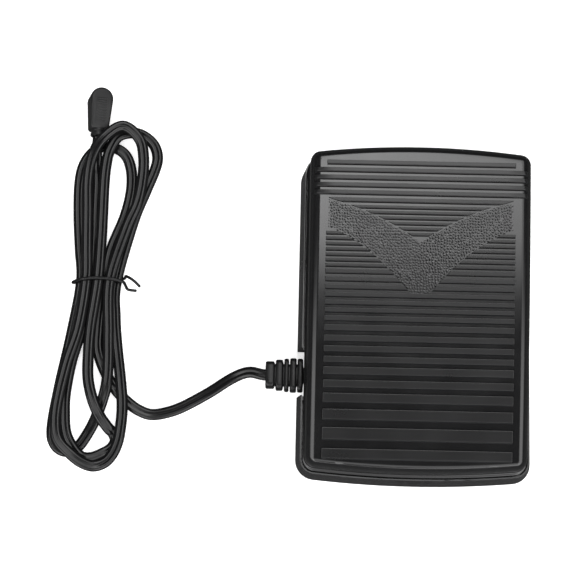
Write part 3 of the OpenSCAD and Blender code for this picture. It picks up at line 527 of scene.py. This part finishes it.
def bar_section(v0, v1):
    """Cross-section of a grip bar as (v, height), with a sloped heel side and a steep toe side."""
    heel_side = [(v0 - 0.42, BAR_ROOT_H), (v0 - 0.3, 0.02), (v0 + 0.1, 0.55), (v0 + 0.2, BAR_H - 0.08)]
    top = [(v0 + 0.36, BAR_H), (v0 + 0.44, BAR_H), (v1 - 0.26, BAR_H), (v1 - 0.2, BAR_H)]
    toe_side = [(v1 - 0.07, BAR_H - 0.07), (v1 - 0.02, BAR_H - 0.24), (v1 + 0.04, BAR_ROOT_H)]
    return heel_side + top + toe_side


def add_bar(shape, v0, v1, left, right):
    """Bar with softened ends; left and right give the end's u for a v."""
    section = bar_section(v0, v1)
    softened = ((0.03, 0.72), (0.09, 0.92), (0.22, 1.0), (0.28, 1.0))
    inset = 0.3
    rings = [[on_cover(left(v), v, BAR_ROOT_H) for v, h in section]]
    for step, share in softened:
        rings.append([on_cover(left(v) + step, v, h * share) for v, h in section])
    for t in np.linspace(0, 1, 14)[1:-1]:
        rings.append([on_cover(left(v) + inset + (right(v) - left(v) - 2 * inset) * t, v, h)
                      for v, h in section])
    for step, share in reversed(softened):
        rings.append([on_cover(right(v) - step, v, h * share) for v, h in section])
    rings.append([on_cover(right(v), v, BAR_ROOT_H) for v, h in section])
    shape.loft(rings)


def add_wrapped_bar(shape, v0, v1):
    """Full-width bar that runs over both shoulders and fades out there."""
    section = bar_section(v0, v1)
    reach = FLAT_HALF_W + 2.6
    fade, sunk = 1.8, 0.05
    stations = np.concatenate([
        np.linspace(-reach, -FLAT_HALF_W, 9),
        np.linspace(-FLAT_HALF_W, FLAT_HALF_W, 14)[1:-1],
        np.linspace(FLAT_HALF_W, reach, 9),
    ])
    rings = []
    for u in stations:
        share = min(1.0, (reach - abs(u)) / fade)
        rings.append([on_cover(u, v, h * share - sunk * (1 - share)) for v, h in section])
    shape.loft(rings)


def add_cut_bar(shape, v0, v1):
    """Bar cut by the chevron: a part inside its V and one on each side below it, unless too short."""
    least_half_len, last_start = 3, 41
    mid = (v0 + v1) / 2

    def toe_edge(v):
        return edge_reach(chevron_high, v)

    def heel_edge(v):
        return edge_reach(chevron_low, v)

    if toe_edge(mid) > least_half_len:
        add_bar(shape, v0, v1, lambda v: -toe_edge(v), toe_edge)
    if heel_edge(mid) < last_start:
        add_bar(shape, v0, v1, heel_edge, lambda v: BAR_HALF_LEN)
        add_bar(shape, v0, v1, lambda v: -BAR_HALF_LEN, lambda v: -heel_edge(v))


def grip_bars(shape):
    """All the bars, from the toe end to the heel end."""
    chevron_bottom, chevron_top = float(chevron_low(0.0)), float(chevron_high(CHEVRON_HALF_W))
    v1 = FIRST_BAR_V
    for index, pitch in enumerate(BAR_PITCHES):
        v0 = v1 - BAR_SHARE * pitch
        if index in WRAPPED_BARS:
            add_wrapped_bar(shape, v0, v1)
        elif chevron_bottom <= (v0 + v1) / 2 <= chevron_top:
            add_cut_bar(shape, v0, v1)
        else:
            add_bar(shape, v0, v1, lambda v: -BAR_HALF_LEN, lambda v: BAR_HALF_LEN)
        v1 -= pitch


def pebble_share(u, v):
    """Pebbles with level tops, from 0 to 1: one in each cell of a jittered grid, with grooves between."""
    cell, groove, repeat = 1.3, 0.95, 160
    rng = np.random.default_rng(7)
    jitter = rng.uniform(0.12, 0.88, (repeat, repeat, 2))
    column, row = np.floor(u / cell).astype(int), np.floor(v / cell).astype(int)
    best = np.full(u.shape, 9.0)
    second = np.full(u.shape, 9.0)
    for dc in (-1, 0, 1):
        for dr in (-1, 0, 1):
            c, r = column + dc, row + dr
            spot = jitter[c % repeat, r % repeat]
            distance = np.hypot((c + spot[..., 0]) * cell - u, (r + spot[..., 1]) * cell - v)
            second = np.where(distance < best, best, np.minimum(second, distance))
            best = np.minimum(best, distance)
    gap = np.clip((second - best) / groove, 0, 1)
    return gap * gap * (3 - 2 * gap)


def chevron_patch(shape):
    """Pebbled chevron, laid on the face as a finely divided sheet that is lower towards its rim."""
    step, depth = 0.2, 26
    pebble_h, rim_w, rim_share, sunk = 0.135, 1.2, 0.2, 0.02
    columns = int(2 * CHEVRON_HALF_W / step)
    rows = int(depth / step)
    u = np.linspace(-CHEVRON_HALF_W, CHEVRON_HALF_W, columns)[:, None] + np.zeros((1, rows))
    t = np.linspace(0, 1, rows)[None, :] + np.zeros((columns, 1))
    low, high = chevron_low(np.abs(u)), chevron_high(np.abs(u))
    v = low + (high - low) * t
    rim = np.minimum.reduce([v - low, high - v, CHEVRON_HALF_W - np.abs(u)])
    fade = np.clip(rim / rim_w, 0, 1)
    height = (rim_share + (1 - rim_share) * fade) * pebble_h * pebble_share(u, v) - sunk
    y = v * V_TO_Y
    rings = np.stack([u, y, face_z(y) + height], axis=-1)
    shape.loft(list(rings), cap_start=False, cap_end=False, closed=False)


def under_face(y):
    """Height inside the face's wall, where the fittings below it end."""
    return float(face_z(y)) - 1


def hinge_ear(shape, ear_x):
    """Upright plate with a round foot, that turns on the hinge pin."""
    half_t, radius, softened = 2, 5.0, 0.3
    top = under_face(HINGE_Y)
    stations = ((-half_t, radius - softened), (softened - half_t, radius),
                (half_t - softened, radius), (half_t, radius - softened))
    rings = []
    for step, r in stations:
        plan = arc((HINGE_Y, HINGE_Z), r, math.pi, 2 * math.pi, 16)
        plan += [(HINGE_Y + r, top), (HINGE_Y - r, top)]
        rings.append([(ear_x + step, y, z) for y, z in plan])
    shape.loft(rings)


def treadle_fittings(shape):
    """Hinge ears, stop posts, spring seats and ledges on both sides, and the plunger's pad."""
    ear_x, post_x, post_y, ledge_x = 35.0, 25, 66.0, 15
    seat = [(2.8, 32.4), (3.2, 32.8), (3.2, RETURN_SPRING_TOP), (5.7, RETURN_SPRING_TOP),
            (6, RETURN_SPRING_TOP + 0.3), (6, under_face(RETURN_SPRING_Y))]
    for side in (-1, 1):
        hinge_ear(shape, side * ear_x)
        lathe(shape, side * post_x, post_y, [(2.6, 26.3), (3, 26.7), (3, under_face(post_y))])
        lathe(shape, side * RETURN_SPRING_X, RETURN_SPRING_Y, seat, 48)
        soft_block(shape, side * ledge_x - 6, side * ledge_x + 6, 67.5, 72.7, 20.7, 22.4, 0.4)
    pad_y0, pad_y1 = 12.5, 25.5
    soft_block(shape, PLUNGER_X - 5, PLUNGER_X + 5, pad_y0, pad_y1, 33.05, under_face(pad_y0), 0.5)


def build_cover():
    shell = Shape()
    cover_shell(shell)
    treadle_fittings(shell)
    cover = shell.make("treadle_shell", gloss_black, 40)
    bars = Shape()
    grip_bars(bars)
    bar_mesh = bars.make("treadle_grip_bars", bar_black, 38)
    patch = Shape()
    chevron_patch(patch)
    patch_mesh = patch.make("treadle_chevron", pebble_black, 80)
    for piece in (cover, bar_mesh, patch_mesh):
        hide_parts("treadle_cover")
        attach(piece, "treadle")


# ---- Flex, tie and boot ----


def tie_slot(i):
    """Place of strand i inside the tie, from left to right, low and high by turns."""
    strand_pitch, low_z, high_z = 2.8, 3.3, 6.7
    return (TIE_X + strand_pitch * (i - 3), TIE_Y, low_z if i % 2 == 0 else high_z)


# The flex's middle line, in runs that end in the tie, and a last one into the plug; at REST_Z it lies flat
REST_Z = CORD_T / 2 + 0.02
CLAMP_X = -HALF_W + 7
LEAD_RUN = [
    (CLAMP_X + 2, BOOT_Y, BOOT_Z), (-57, BOOT_Y, BOOT_Z), (-70, BOOT_Y, BOOT_Z), (-78, -27.2, 6),
    (-86, -30, 3.6), (-97, -37, 1.8), (-109, -43.8, REST_Z), (-117, -46.8, REST_Z),
    (-124, -47.8, REST_Z), (-130, -45.8, REST_Z), (-135.5, -42, REST_Z), (-141, -36.5, REST_Z),
    (-146, -29, REST_Z), (-150.5, -18, REST_Z), (-150.8, -7, REST_Z), (-150, 4.5, 2.4), tie_slot(4),
]
REAR_LEFT_LOOP = [
    (-146.5, 31.5, 2.2), (-140.5, 49, REST_Z), (-138, 63, REST_Z), (-139, 74, REST_Z),
    (-143, 81, REST_Z), (-151, 84, REST_Z), (-157.5, 81, REST_Z), (-162, 74, REST_Z),
    (-163.5, 64, REST_Z), (-163, 48, REST_Z), (-161.5, 32, 2.2), tie_slot(0),
]
OUTER_LEFT_LOOP = [
    (-163.5, -9.5, 1.8), (-168, -35, REST_Z), (-170.5, -54.5, REST_Z), (-169, -62.5, REST_Z),
    (-164, -66, REST_Z), (-158, -64, REST_Z), (-152.5, -55.5, REST_Z), (-148.5, -46, 2.8),
    (-145.5, -35.5, 5), (-145, -24, 5.1), (-145.5, -9, 5.5), tie_slot(5),
]
FRONT_LOOP = [
    (-139, 40.5, 8.2), (-134, 53.5, 8.7), (-132, 65.5, 8.7), (-132, 77, 8.7), (-134.5, 86, 8.9),
    (-142.5, 92, 10), (-151.5, 85.5, 11.2), (-156.5, 77.5, 9.8), (-158.5, 65.5, 8.6), (-158, 49.5, 8.2),
    (-157.5, 33.5, 7.6), tie_slot(1),
]
LOWEST_LOOP = [
    (-159.5, -7.5, 7.8), (-164, -24.5, 8.5), (-167.5, -43, 8.6), (-168, -54.5, 8.6), (-166, -62, 8.6),
    (-160.5, -67.5, 8.5), (-155, -71.5, 7.6), (-149, -73, 6.2), (-143, -70, 5.6), (-139, -62.5, 5.4),
    (-137.5, -52, 5.4), (-137.5, -42.5, 5.1), (-139, -30.5, 4.4), (-141.5, -15.5, 1.9), (-143, -1.5, 2),
    tie_slot(6),
]
REAR_RIGHT_LOOP = [
    (-136, 45, 4.8), (-130.5, 60.5, 5.1), (-126.5, 71.5, 5.1), (-125.5, 78, 5.1), (-127.5, 84, 5.1),
    (-132.5, 88.5, 5.1), (-138, 90, 5.1), (-145, 88, 5.1), (-149, 81, 5.1), (-150.5, 73, 5.1),
    (-151, 63.5, 5.1), (-151, 49, 5.2), (-151, 36, 5.7), tie_slot(3),
]
INNER_LOOP = [
    (-154, -6.5, 6.1), (-154.5, -21, 5.8), (-154, -32, 5.8), (-151.5, -41.5, 6.2), (-148, -49, 5.6),
    (-144, -54.5, 3.2), (-141.5, -57, REST_Z), (-140.3, -60.5, REST_Z), (-142, -64, REST_Z),
    (-145.5, -66.5, 2.2), (-151, -69, 3.8), (-156, -68.5, 5.1), (-160.5, -63.5, 5.1),
    (-163.5, -57, 5.1), (-164.5, -48, 5.1), (-164.5, -38.5, 5.1), (-162.5, -24, 5), (-159.5, -12, 4.3),
    (-156.5, 1.5, 2.6), tie_slot(2),
]
NECK_X = PLUG_X + PLUG_NECK_Z * math.sin(PLUG_ROLL)
NECK_HEIGHT = PLUG_LIFT + PLUG_NECK_Z * math.cos(PLUG_ROLL)
PLUG_RUN = [
    (-154, 35, 2), (-154.5, 51, REST_Z), (-154.5, 63.5, REST_Z), (-155, 71, 2.2), (-155.3, 77, 4.5),
    (-155.4, 81.5, 5.3), (NECK_X, PLUG_NECK_Y - 2, NECK_HEIGHT),
    (NECK_X, PLUG_NECK_Y + 2.8, NECK_HEIGHT),
]
CORD_POINTS = (LEAD_RUN + REAR_LEFT_LOOP + OUTER_LEFT_LOOP + FRONT_LOOP + LOWEST_LOOP + REAR_RIGHT_LOOP
               + INNER_LOOP + PLUG_RUN)


def flex_section(arc_steps=10):
    """Two round cores joined side by side."""
    radius, offset = CORD_T / 2, (CORD_W - CORD_T) / 2
    short_of_waist = math.radians(6)
    limit = math.acos(-offset / radius) - short_of_waist
    right = arc((offset, 0), radius, -limit, limit, arc_steps)
    left = arc((-offset, 0), radius, math.pi - limit, math.pi + limit, arc_steps)
    return right + left


def build_cord():
    shape = Shape()
    shape.loft(sweep_rings(smooth_path(CORD_POINTS, 10), flex_section()))
    cord = shape.make("flex", flex_black, 50)
    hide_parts("cord")
    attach(cord, "base")


def build_tie():
    """Sheathed wire round the strands, its ends cut square with a slight rounding."""
    radius, top, end_share = 0.7, 9.5, 0.72
    bottom = radius + 0.02
    x, y = TIE_X, TIE_Y
    points = [
        (x + 20.3, y - 2.6, 6), (x + 16.8, y + 0.6, 6.2), (x + 13.3, y + 2.7, 4.8),
        (x + 12.1, y + 2.4, 1.5), (x + 8.4, y + 1.6, bottom), (x, y + 1.4, bottom), (x - 8, y + 0.6, bottom),
        (x - 11.7, y - 0.2, 1.4), (x - 12.5, y - 0.6, 3.6), (x - 11.2, y - 0.4, 5.9),
        (x - 7, y + 0.2, top), (x, y + 0.8, top + 0.1), (x + 7, y + 0.4, top), (x + 12, y - 0.6, 8),
        (x + 13.2, y - 2, 4.6), (x + 14.2, y - 3.4, 3), (x + 18.4, y - 4, 3.4),
    ]
    path = smooth_path(points, 8)
    across = np.cross(tangents(path), (0, 1, 0.02))
    across /= np.linalg.norm(across, axis=1, keepdims=True)
    rings = sweep_rings(path, circle_points(radius, 16), across)
    for end in (0, -1):
        middle = rings[end].mean(axis=0)
        rings[end] = middle + (rings[end] - middle) * end_share
    shape = Shape()
    shape.loft(rings)
    tie = shape.make("wire_tie", rubber_black, 60)
    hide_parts("twist_tie")
    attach(tie, "base")


# The boot's blocks, outwards from the base: (start, end, width, height, length of the core after it)
BOOT_BLOCKS = [(-0.3, -3, 15.7, 8.4, 0.38), (-3.4, -6.5, 15.7, 10.2, 0.48), (-7, -9.2, 15.2, 10, 0.38),
               (-9.8, -13.2, 14.2, 9.6, 0.38), (-13.8, -18, 12.6, 9, 0)]


def boot_stations():
    """The boot along its length as (x from the base's side, width, height): neck, blocks, bore's mouth."""
    core = (10.4, 7.2)
    softened = ((0.0, 1.3), (0.12, 0.7), (0.35, 0.25), (0.75, 0.0))
    stations = [(4.6, 11.4, 4.4), (4.4, 12, 5), (2.8, 12, 5), (2.6, 11.4, 4.6), (2.55, 7.6, 5),
                (-0.1, 7.6, 5), (-0.25, *core)]
    for x_in, x_out, width, height, core_length in BOOT_BLOCKS:
        for step, inset in softened:
            stations.append((x_in - step, width - inset, height - inset))
        for step, inset in reversed(softened):
            stations.append((x_out + step, width - inset, height - inset))
        if core_length:
            stations.append((x_out - 0.02, *core))
            stations.append((x_out - core_length, *core))
    return stations + [(-18.02, 7.2, 4.9), (-17.8, 6.0, 3.7), (-14, 5.7, 3.4)]


def build_boot():
    """Collared neck, then softened blocks on a flexible core, bored for the flex."""
    largest_corner = 2.4
    rings = []
    for x, width, height in boot_stations():
        corner = min(largest_corner, height / 2 - 0.05, width / 2 - 0.05)
        plan = rounded_rectangle(width, height, corner, 7)
        rings.append([(-HALF_W + x, BOOT_Y + y, BOOT_Z + z) for y, z in plan])
    shape = Shape()
    shape.loft(rings)
    boot = shape.make("cord_boot", rubber_black, 45)
    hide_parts("strain_relief")
    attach(boot, "base")


# ---- Plug ----


def plug_point(x, y, z):
    """From the plug's own frame, rolled onto its edge, to the shared frame."""
    c, s = math.cos(PLUG_ROLL), math.sin(PLUG_ROLL)
    return (PLUG_X + x * c + z * s, y, PLUG_LIFT - x * s + z * c)


def plug_side(start, stop, normal):
    """Points of a straight side with its outward direction, between its two ends."""
    start, stop = np.array(start), np.array(stop)
    return [(start + (stop - start) * t, normal) for t in np.linspace(0, 1, 12)[1:-1]]


def plug_arc(centre, radius, start, stop, steps):
    """Points of an arc with their outward directions."""
    directions = arc((0, 0), 1, start, stop, steps)
    return [(np.array(centre) + radius * np.array(out), out) for out in directions]


def plug_plan():
    """Outline of the plug from above with its outward directions: round head, tapering to the neck."""
    tail_y, tail_half, tail_r = 90.6, 4.6, 1.6
    pi = math.pi
    shoulder_y = tail_y + tail_r
    lean = math.atan2(PLUG_HALF_W - tail_half, PLUG_HEAD_Y - tail_y)
    left, right = (-math.cos(lean), -math.sin(lean)), (math.cos(lean), -math.sin(lean))
    outline = plug_arc((0, PLUG_HEAD_Y), PLUG_HALF_W, -lean, pi + lean, 40)
    outline += plug_side((-PLUG_HALF_W, PLUG_HEAD_Y), (-tail_half, shoulder_y), left)
    outline += plug_arc((-tail_half + tail_r, shoulder_y), tail_r, pi + lean, 1.5 * pi, 6)
    outline += plug_arc((tail_half - tail_r, shoulder_y), tail_r, 1.5 * pi, 2 * pi - lean, 6)
    outline += plug_side((tail_half, shoulder_y), (PLUG_HALF_W, PLUG_HEAD_Y), right)
    points, normals = zip(*outline)
    return np.array(points), np.array(normals)


def plug_top(y):
    """Height of the plug's top: level over the head, falling towards the flex."""
    level_y, level_z = 103, 11.2
    low_y, low_z = 88, 7.4
    return np.where(y >= level_y, level_z, low_z + (y - low_y) * (level_z - low_z) / (level_y - low_y))


def plug_ring(plan, heights):
    """Ring of the plug from points seen from above and their heights."""
    return [plug_point(x, y, z) for (x, y), z in zip(plan, heights)]


def plug_casing(shape):
    """Side walls with softened edges, closed by the top."""
    points, normals = plug_plan()
    edge, wall_z = 1.1, 0.5
    rings = []
    for inset, z in ((0.5, 0.0), (0.15, 0.15), (0.0, wall_z)):
        plan = points - normals * inset
        rings.append(plug_ring(plan, np.full(len(plan), z)))
    for share in (0.25, 0.5, 0.75):
        rings.append(plug_ring(points, wall_z + (plug_top(points[:, 1]) - edge - wall_z) * share))
    for a in np.linspace(0, math.pi / 2, 7):
        plan = points - normals * edge * (1 - math.cos(a))
        rings.append(plug_ring(plan, plug_top(plan[:, 1]) - edge * (1 - math.sin(a))))
    centre = np.array([0.0, 101.0])
    for scale in (0.85, 0.65, 0.4, 0.15):
        plan = centre + (points - normals * edge - centre) * scale
        rings.append(plug_ring(plan, plug_top(plan[:, 1])))
    shape.loft(rings)


def plug_rib(shape, y0):
    """Low grip rib across the plug's top, fading at both ends."""
    section = [(0, -0.3), (0.06, 0.22), (0.3, 0.34), (0.55, 0.22), (0.62, -0.3)]
    rings = []
    for x, share in ((-2.7, 0), (-2.6, 0.7), (-2.3, 1), (0, 1), (2.0, 1), (2.3, 0.7), (2.4, 0)):
        plan = [(x, y0 + along) for along, rise in section]
        heights = [plug_top(y0 + along) + (rise if rise < 0 else rise * share) for along, rise in section]
        rings.append(plug_ring(plan, heights))
    shape.loft(rings)


def plug_neck(shape):
    """Round collar that the flex goes into, with a groove."""
    stations = ((87.6, 3.2), (87.6, 3.6), (87.8, 3.8), (89.0, 3.8), (89.3, 3.5), (89.8, 3.5),
                (90.1, 3.8), (92.4, 3.8))
    rings = []
    for y, radius in stations:
        rings.append([plug_point(x, y, PLUG_NECK_Z + z) for x, z in circle_points(radius, 32)])
    shape.loft(rings)


def build_plug():
    ribs, first_rib_y, rib_pitch = 10, 93.9, 1.22
    shape = Shape()
    plug_casing(shape)
    for index in range(ribs):
        plug_rib(shape, first_rib_y + rib_pitch * index)
    plug_neck(shape)
    plug = shape.make("plug_moulding", plug_black, 42)
    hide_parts("plug_body")
    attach(plug, "base")


# ---- Springs ----


def coil_rings(x, y, z0, z1, mean_r, wire_r, turns, flat=0.75, per_turn=40, sides=12):
    """Wire coil standing on z0, with level end turns."""
    rise = (z1 - z0 - 2 * wire_r) / (turns - 2 * flat)
    t = np.arange(turns * per_turn + 1) / per_turn
    a = 2 * math.pi * t
    z = z0 + wire_r + rise * (np.clip(t, flat, turns - flat) - flat)
    path = np.column_stack([x + mean_r * np.cos(a), y + mean_r * np.sin(a), z])
    across = np.column_stack([np.cos(a), np.sin(a), 0 * a])
    return sweep_rings(path, circle_points(wire_r, sides), across)


# Between a spring's end turns and what they press on
SPRING_GAP = 0.02


def build_return_spring(node, x):
    """Stands on the floor of the base, up to its seat under the treadle."""
    y, wire_r, coil_r, turns = RETURN_SPRING_Y, 0.6, 4.4, 7
    foot, top = FLOOR_TOP + SPRING_GAP, RETURN_SPRING_TOP - SPRING_GAP
    shape = Shape()
    shape.loft(coil_rings(x, y, foot, top, coil_r, wire_r, turns))
    spring = shape.make(node + "_coil", steel, 60)
    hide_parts(node)
    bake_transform(spring)


def build_plunger_spring():
    """Stands on the floor of the base, under the speed plunger."""
    x, y, wire_r, coil_r, turns = PLUNGER_X, PLUNGER_Y, 0.3, 1.5, 9
    foot, top = FLOOR_TOP + SPRING_GAP, PLUNGER_SPRING_TOP - SPRING_GAP
    shape = Shape()
    shape.loft(coil_rings(x, y, foot, top, coil_r, wire_r, turns))
    spring = shape.make("plunger_spring_coil", steel, 60)
    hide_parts("plunger_spring")
    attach(spring, "base")
    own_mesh(spring)


# ---- Studio ----


def studio_floor():
    """White paper on the table, that shows dark when a glossy surface mirrors it."""
    shape = Shape()
    reach = 3000
    seen_and_mirrored = (("Base Color", 0.85, 0.06), ("Emission Strength", 0.62, 0.03))
    rings = [[(-reach, y, 0), (reach, y, 0)] for y in np.linspace(-reach, reach, 5)]
    shape.loft(rings, cap_start=False, cap_end=False, closed=False)
    material, nodes, links, shader = material_nodes("studio_floor")
    shader.inputs["Roughness"].default_value = 0.9
    shader.inputs["Specular IOR Level"].default_value = 0.0
    shader.inputs["Emission Color"].default_value = (1, 1, 1, 1)
    path = nodes.new("ShaderNodeLightPath")
    for name, seen, mirrored in seen_and_mirrored:
        mix = nodes.new("ShaderNodeMix")
        mix.inputs["A"].default_value = seen
        mix.inputs["B"].default_value = mirrored
        links.new(path.outputs["Is Glossy Ray"], mix.inputs["Factor"])
        links.new(mix.outputs["Result"], shader.inputs[name])
    floor = shape.make("studio_floor", material)


def ramp_node(nodes, links, value, start, stop):
    """Smooth step from 0 at start to 1 at stop."""
    node = nodes.new("ShaderNodeMapRange")
    node.interpolation_type = "SMOOTHSTEP"
    node.inputs["From Min"].default_value = start
    node.inputs["From Max"].default_value = stop
    links.new(value, node.inputs["Value"])
    return node.outputs["Result"]


def math_node(nodes, links, operation, *values):
    """Node that works on other nodes' outputs or on plain numbers."""
    node = nodes.new("ShaderNodeMath")
    node.operation = operation
    for index, value in enumerate(values):
        if isinstance(value, (int, float)):
            node.inputs[index].default_value = value
        else:
            links.new(value, node.inputs[index])
    return node.outputs[0]


def product(nodes, links, *values):
    """The values multiplied together, from the first to the last."""
    total = values[0]
    for value in values[1:]:
        total = math_node(nodes, links, "MULTIPLY", total, value)
    return total


def dome_strength(nodes, links):
    """Light from each direction: panels over the toe end, beyond the heel end and to both sides of it."""
    panel_strength, flank_strength, heel_strength = 6.9, 3.2, 2.0
    horizon_strength, least_strength = 0.1, 0.015
    right_share = 0.38

    def ramp(value, start, stop):
        return ramp_node(nodes, links, value, start, stop)

    place = nodes.new("ShaderNodeTexCoord")
    split = nodes.new("ShaderNodeSeparateXYZ")
    links.new(place.outputs["Generated"], split.inputs[0])
    x, y, z = split.outputs
    height = math_node(nodes, links, "MAXIMUM", z, 0.02)
    across = math_node(nodes, links, "DIVIDE", x, height)
    along = math_node(nodes, links, "DIVIDE", y, height)
    sideways = math_node(nodes, links, "ABSOLUTE", across)

    # The panel over the toe end is brightest at its left and falls to right_share before it ends
    fall = product(nodes, links, ramp(across, 0.28, -0.02), 1 - right_share)
    fall = math_node(nodes, links, "ADD", fall, right_share)
    right_side = product(nodes, links, fall, ramp(across, 0.9, 0.4))
    panel = product(nodes, links, ramp(along, -0.1, 0.03), ramp(along, 1.1, 0.7),
                    ramp(across, -0.11, -0.02), right_side, panel_strength)
    flank = product(nodes, links, ramp(sideways, 0.3, 0.45), ramp(sideways, 2.6, 1.6),
                    ramp(along, 0.05, -0.25), flank_strength)
    heel = product(nodes, links, ramp(along, -0.5, -0.75), ramp(along, -2.2, -1.5),
                   ramp(sideways, 1.3, 0.8), heel_strength)
    horizon = product(nodes, links, ramp(z, 0.3, 0.0), horizon_strength)

    low_panels = math_node(nodes, links, "ADD", flank, heel)
    panels = math_node(nodes, links, "ADD", panel, low_panels)
    rest = math_node(nodes, links, "ADD", horizon, least_strength)
    return math_node(nodes, links, "ADD", panels, rest)


def studio_light():
    """Dome that the camera sees white, and that lights the object with soft panels in a dark room."""
    world = bpy.data.worlds.new("studio")
    bpy.context.scene.world = world
    world.use_nodes = True
    nodes, links = world.node_tree.nodes, world.node_tree.links
    nodes.clear()
    white = nodes.new("ShaderNodeBackground")
    white.inputs["Strength"].default_value = 1.0
    white.inputs["Color"].default_value = (1, 1, 1, 1)
    dome = nodes.new("ShaderNodeBackground")
    dome.inputs["Color"].default_value = (1, 1, 1, 1)
    links.new(dome_strength(nodes, links), dome.inputs["Strength"])
    path = nodes.new("ShaderNodeLightPath")
    mix = nodes.new("ShaderNodeMixShader")
    links.new(path.outputs["Is Camera Ray"], mix.inputs[0])
    links.new(dome.outputs[0], mix.inputs[1])
    links.new(white.outputs[0], mix.inputs[2])
    output = nodes.new("ShaderNodeOutputWorld")
    links.new(mix.outputs[0], output.inputs["Surface"])


# The camera's place in millimetres, and its turns from looking straight down in degrees
CAMERA_PLACE = (-55.93, -127.11, 698.99)
CAMERA_HEADING, CAMERA_TILT, CAMERA_ROLL = 1.7899, 11.5102, -0.5241
CAMERA_LENS = 92.22


def studio_camera():
    data = bpy.data.cameras.new("photo_camera")
    data.sensor_width = 36
    data.lens = CAMERA_LENS
    data.clip_start = 0.01
    camera = bpy.data.objects.new("photo_camera", data)
    bpy.context.collection.objects.link(camera)
    heading = Matrix.Rotation(math.radians(CAMERA_HEADING), 4, "Z")
    tilt = Matrix.Rotation(math.radians(CAMERA_TILT), 4, "X")
    roll = Matrix.Rotation(math.radians(CAMERA_ROLL), 4, "Z")
    camera.matrix_world = Matrix.Translation(Vector(CAMERA_PLACE) * MM) @ heading @ tilt @ roll
    bpy.context.scene.camera = camera


finish_cad_nodes()
build_cover()
build_cord()
build_tie()
build_boot()
build_plug()
build_return_spring("return_spring_left", -RETURN_SPRING_X)
build_return_spring("return_spring_right", RETURN_SPRING_X)
build_plunger_spring()
studio_floor()
studio_light()
studio_camera()
bpy.context.scene.view_settings.view_transform = "Standard"
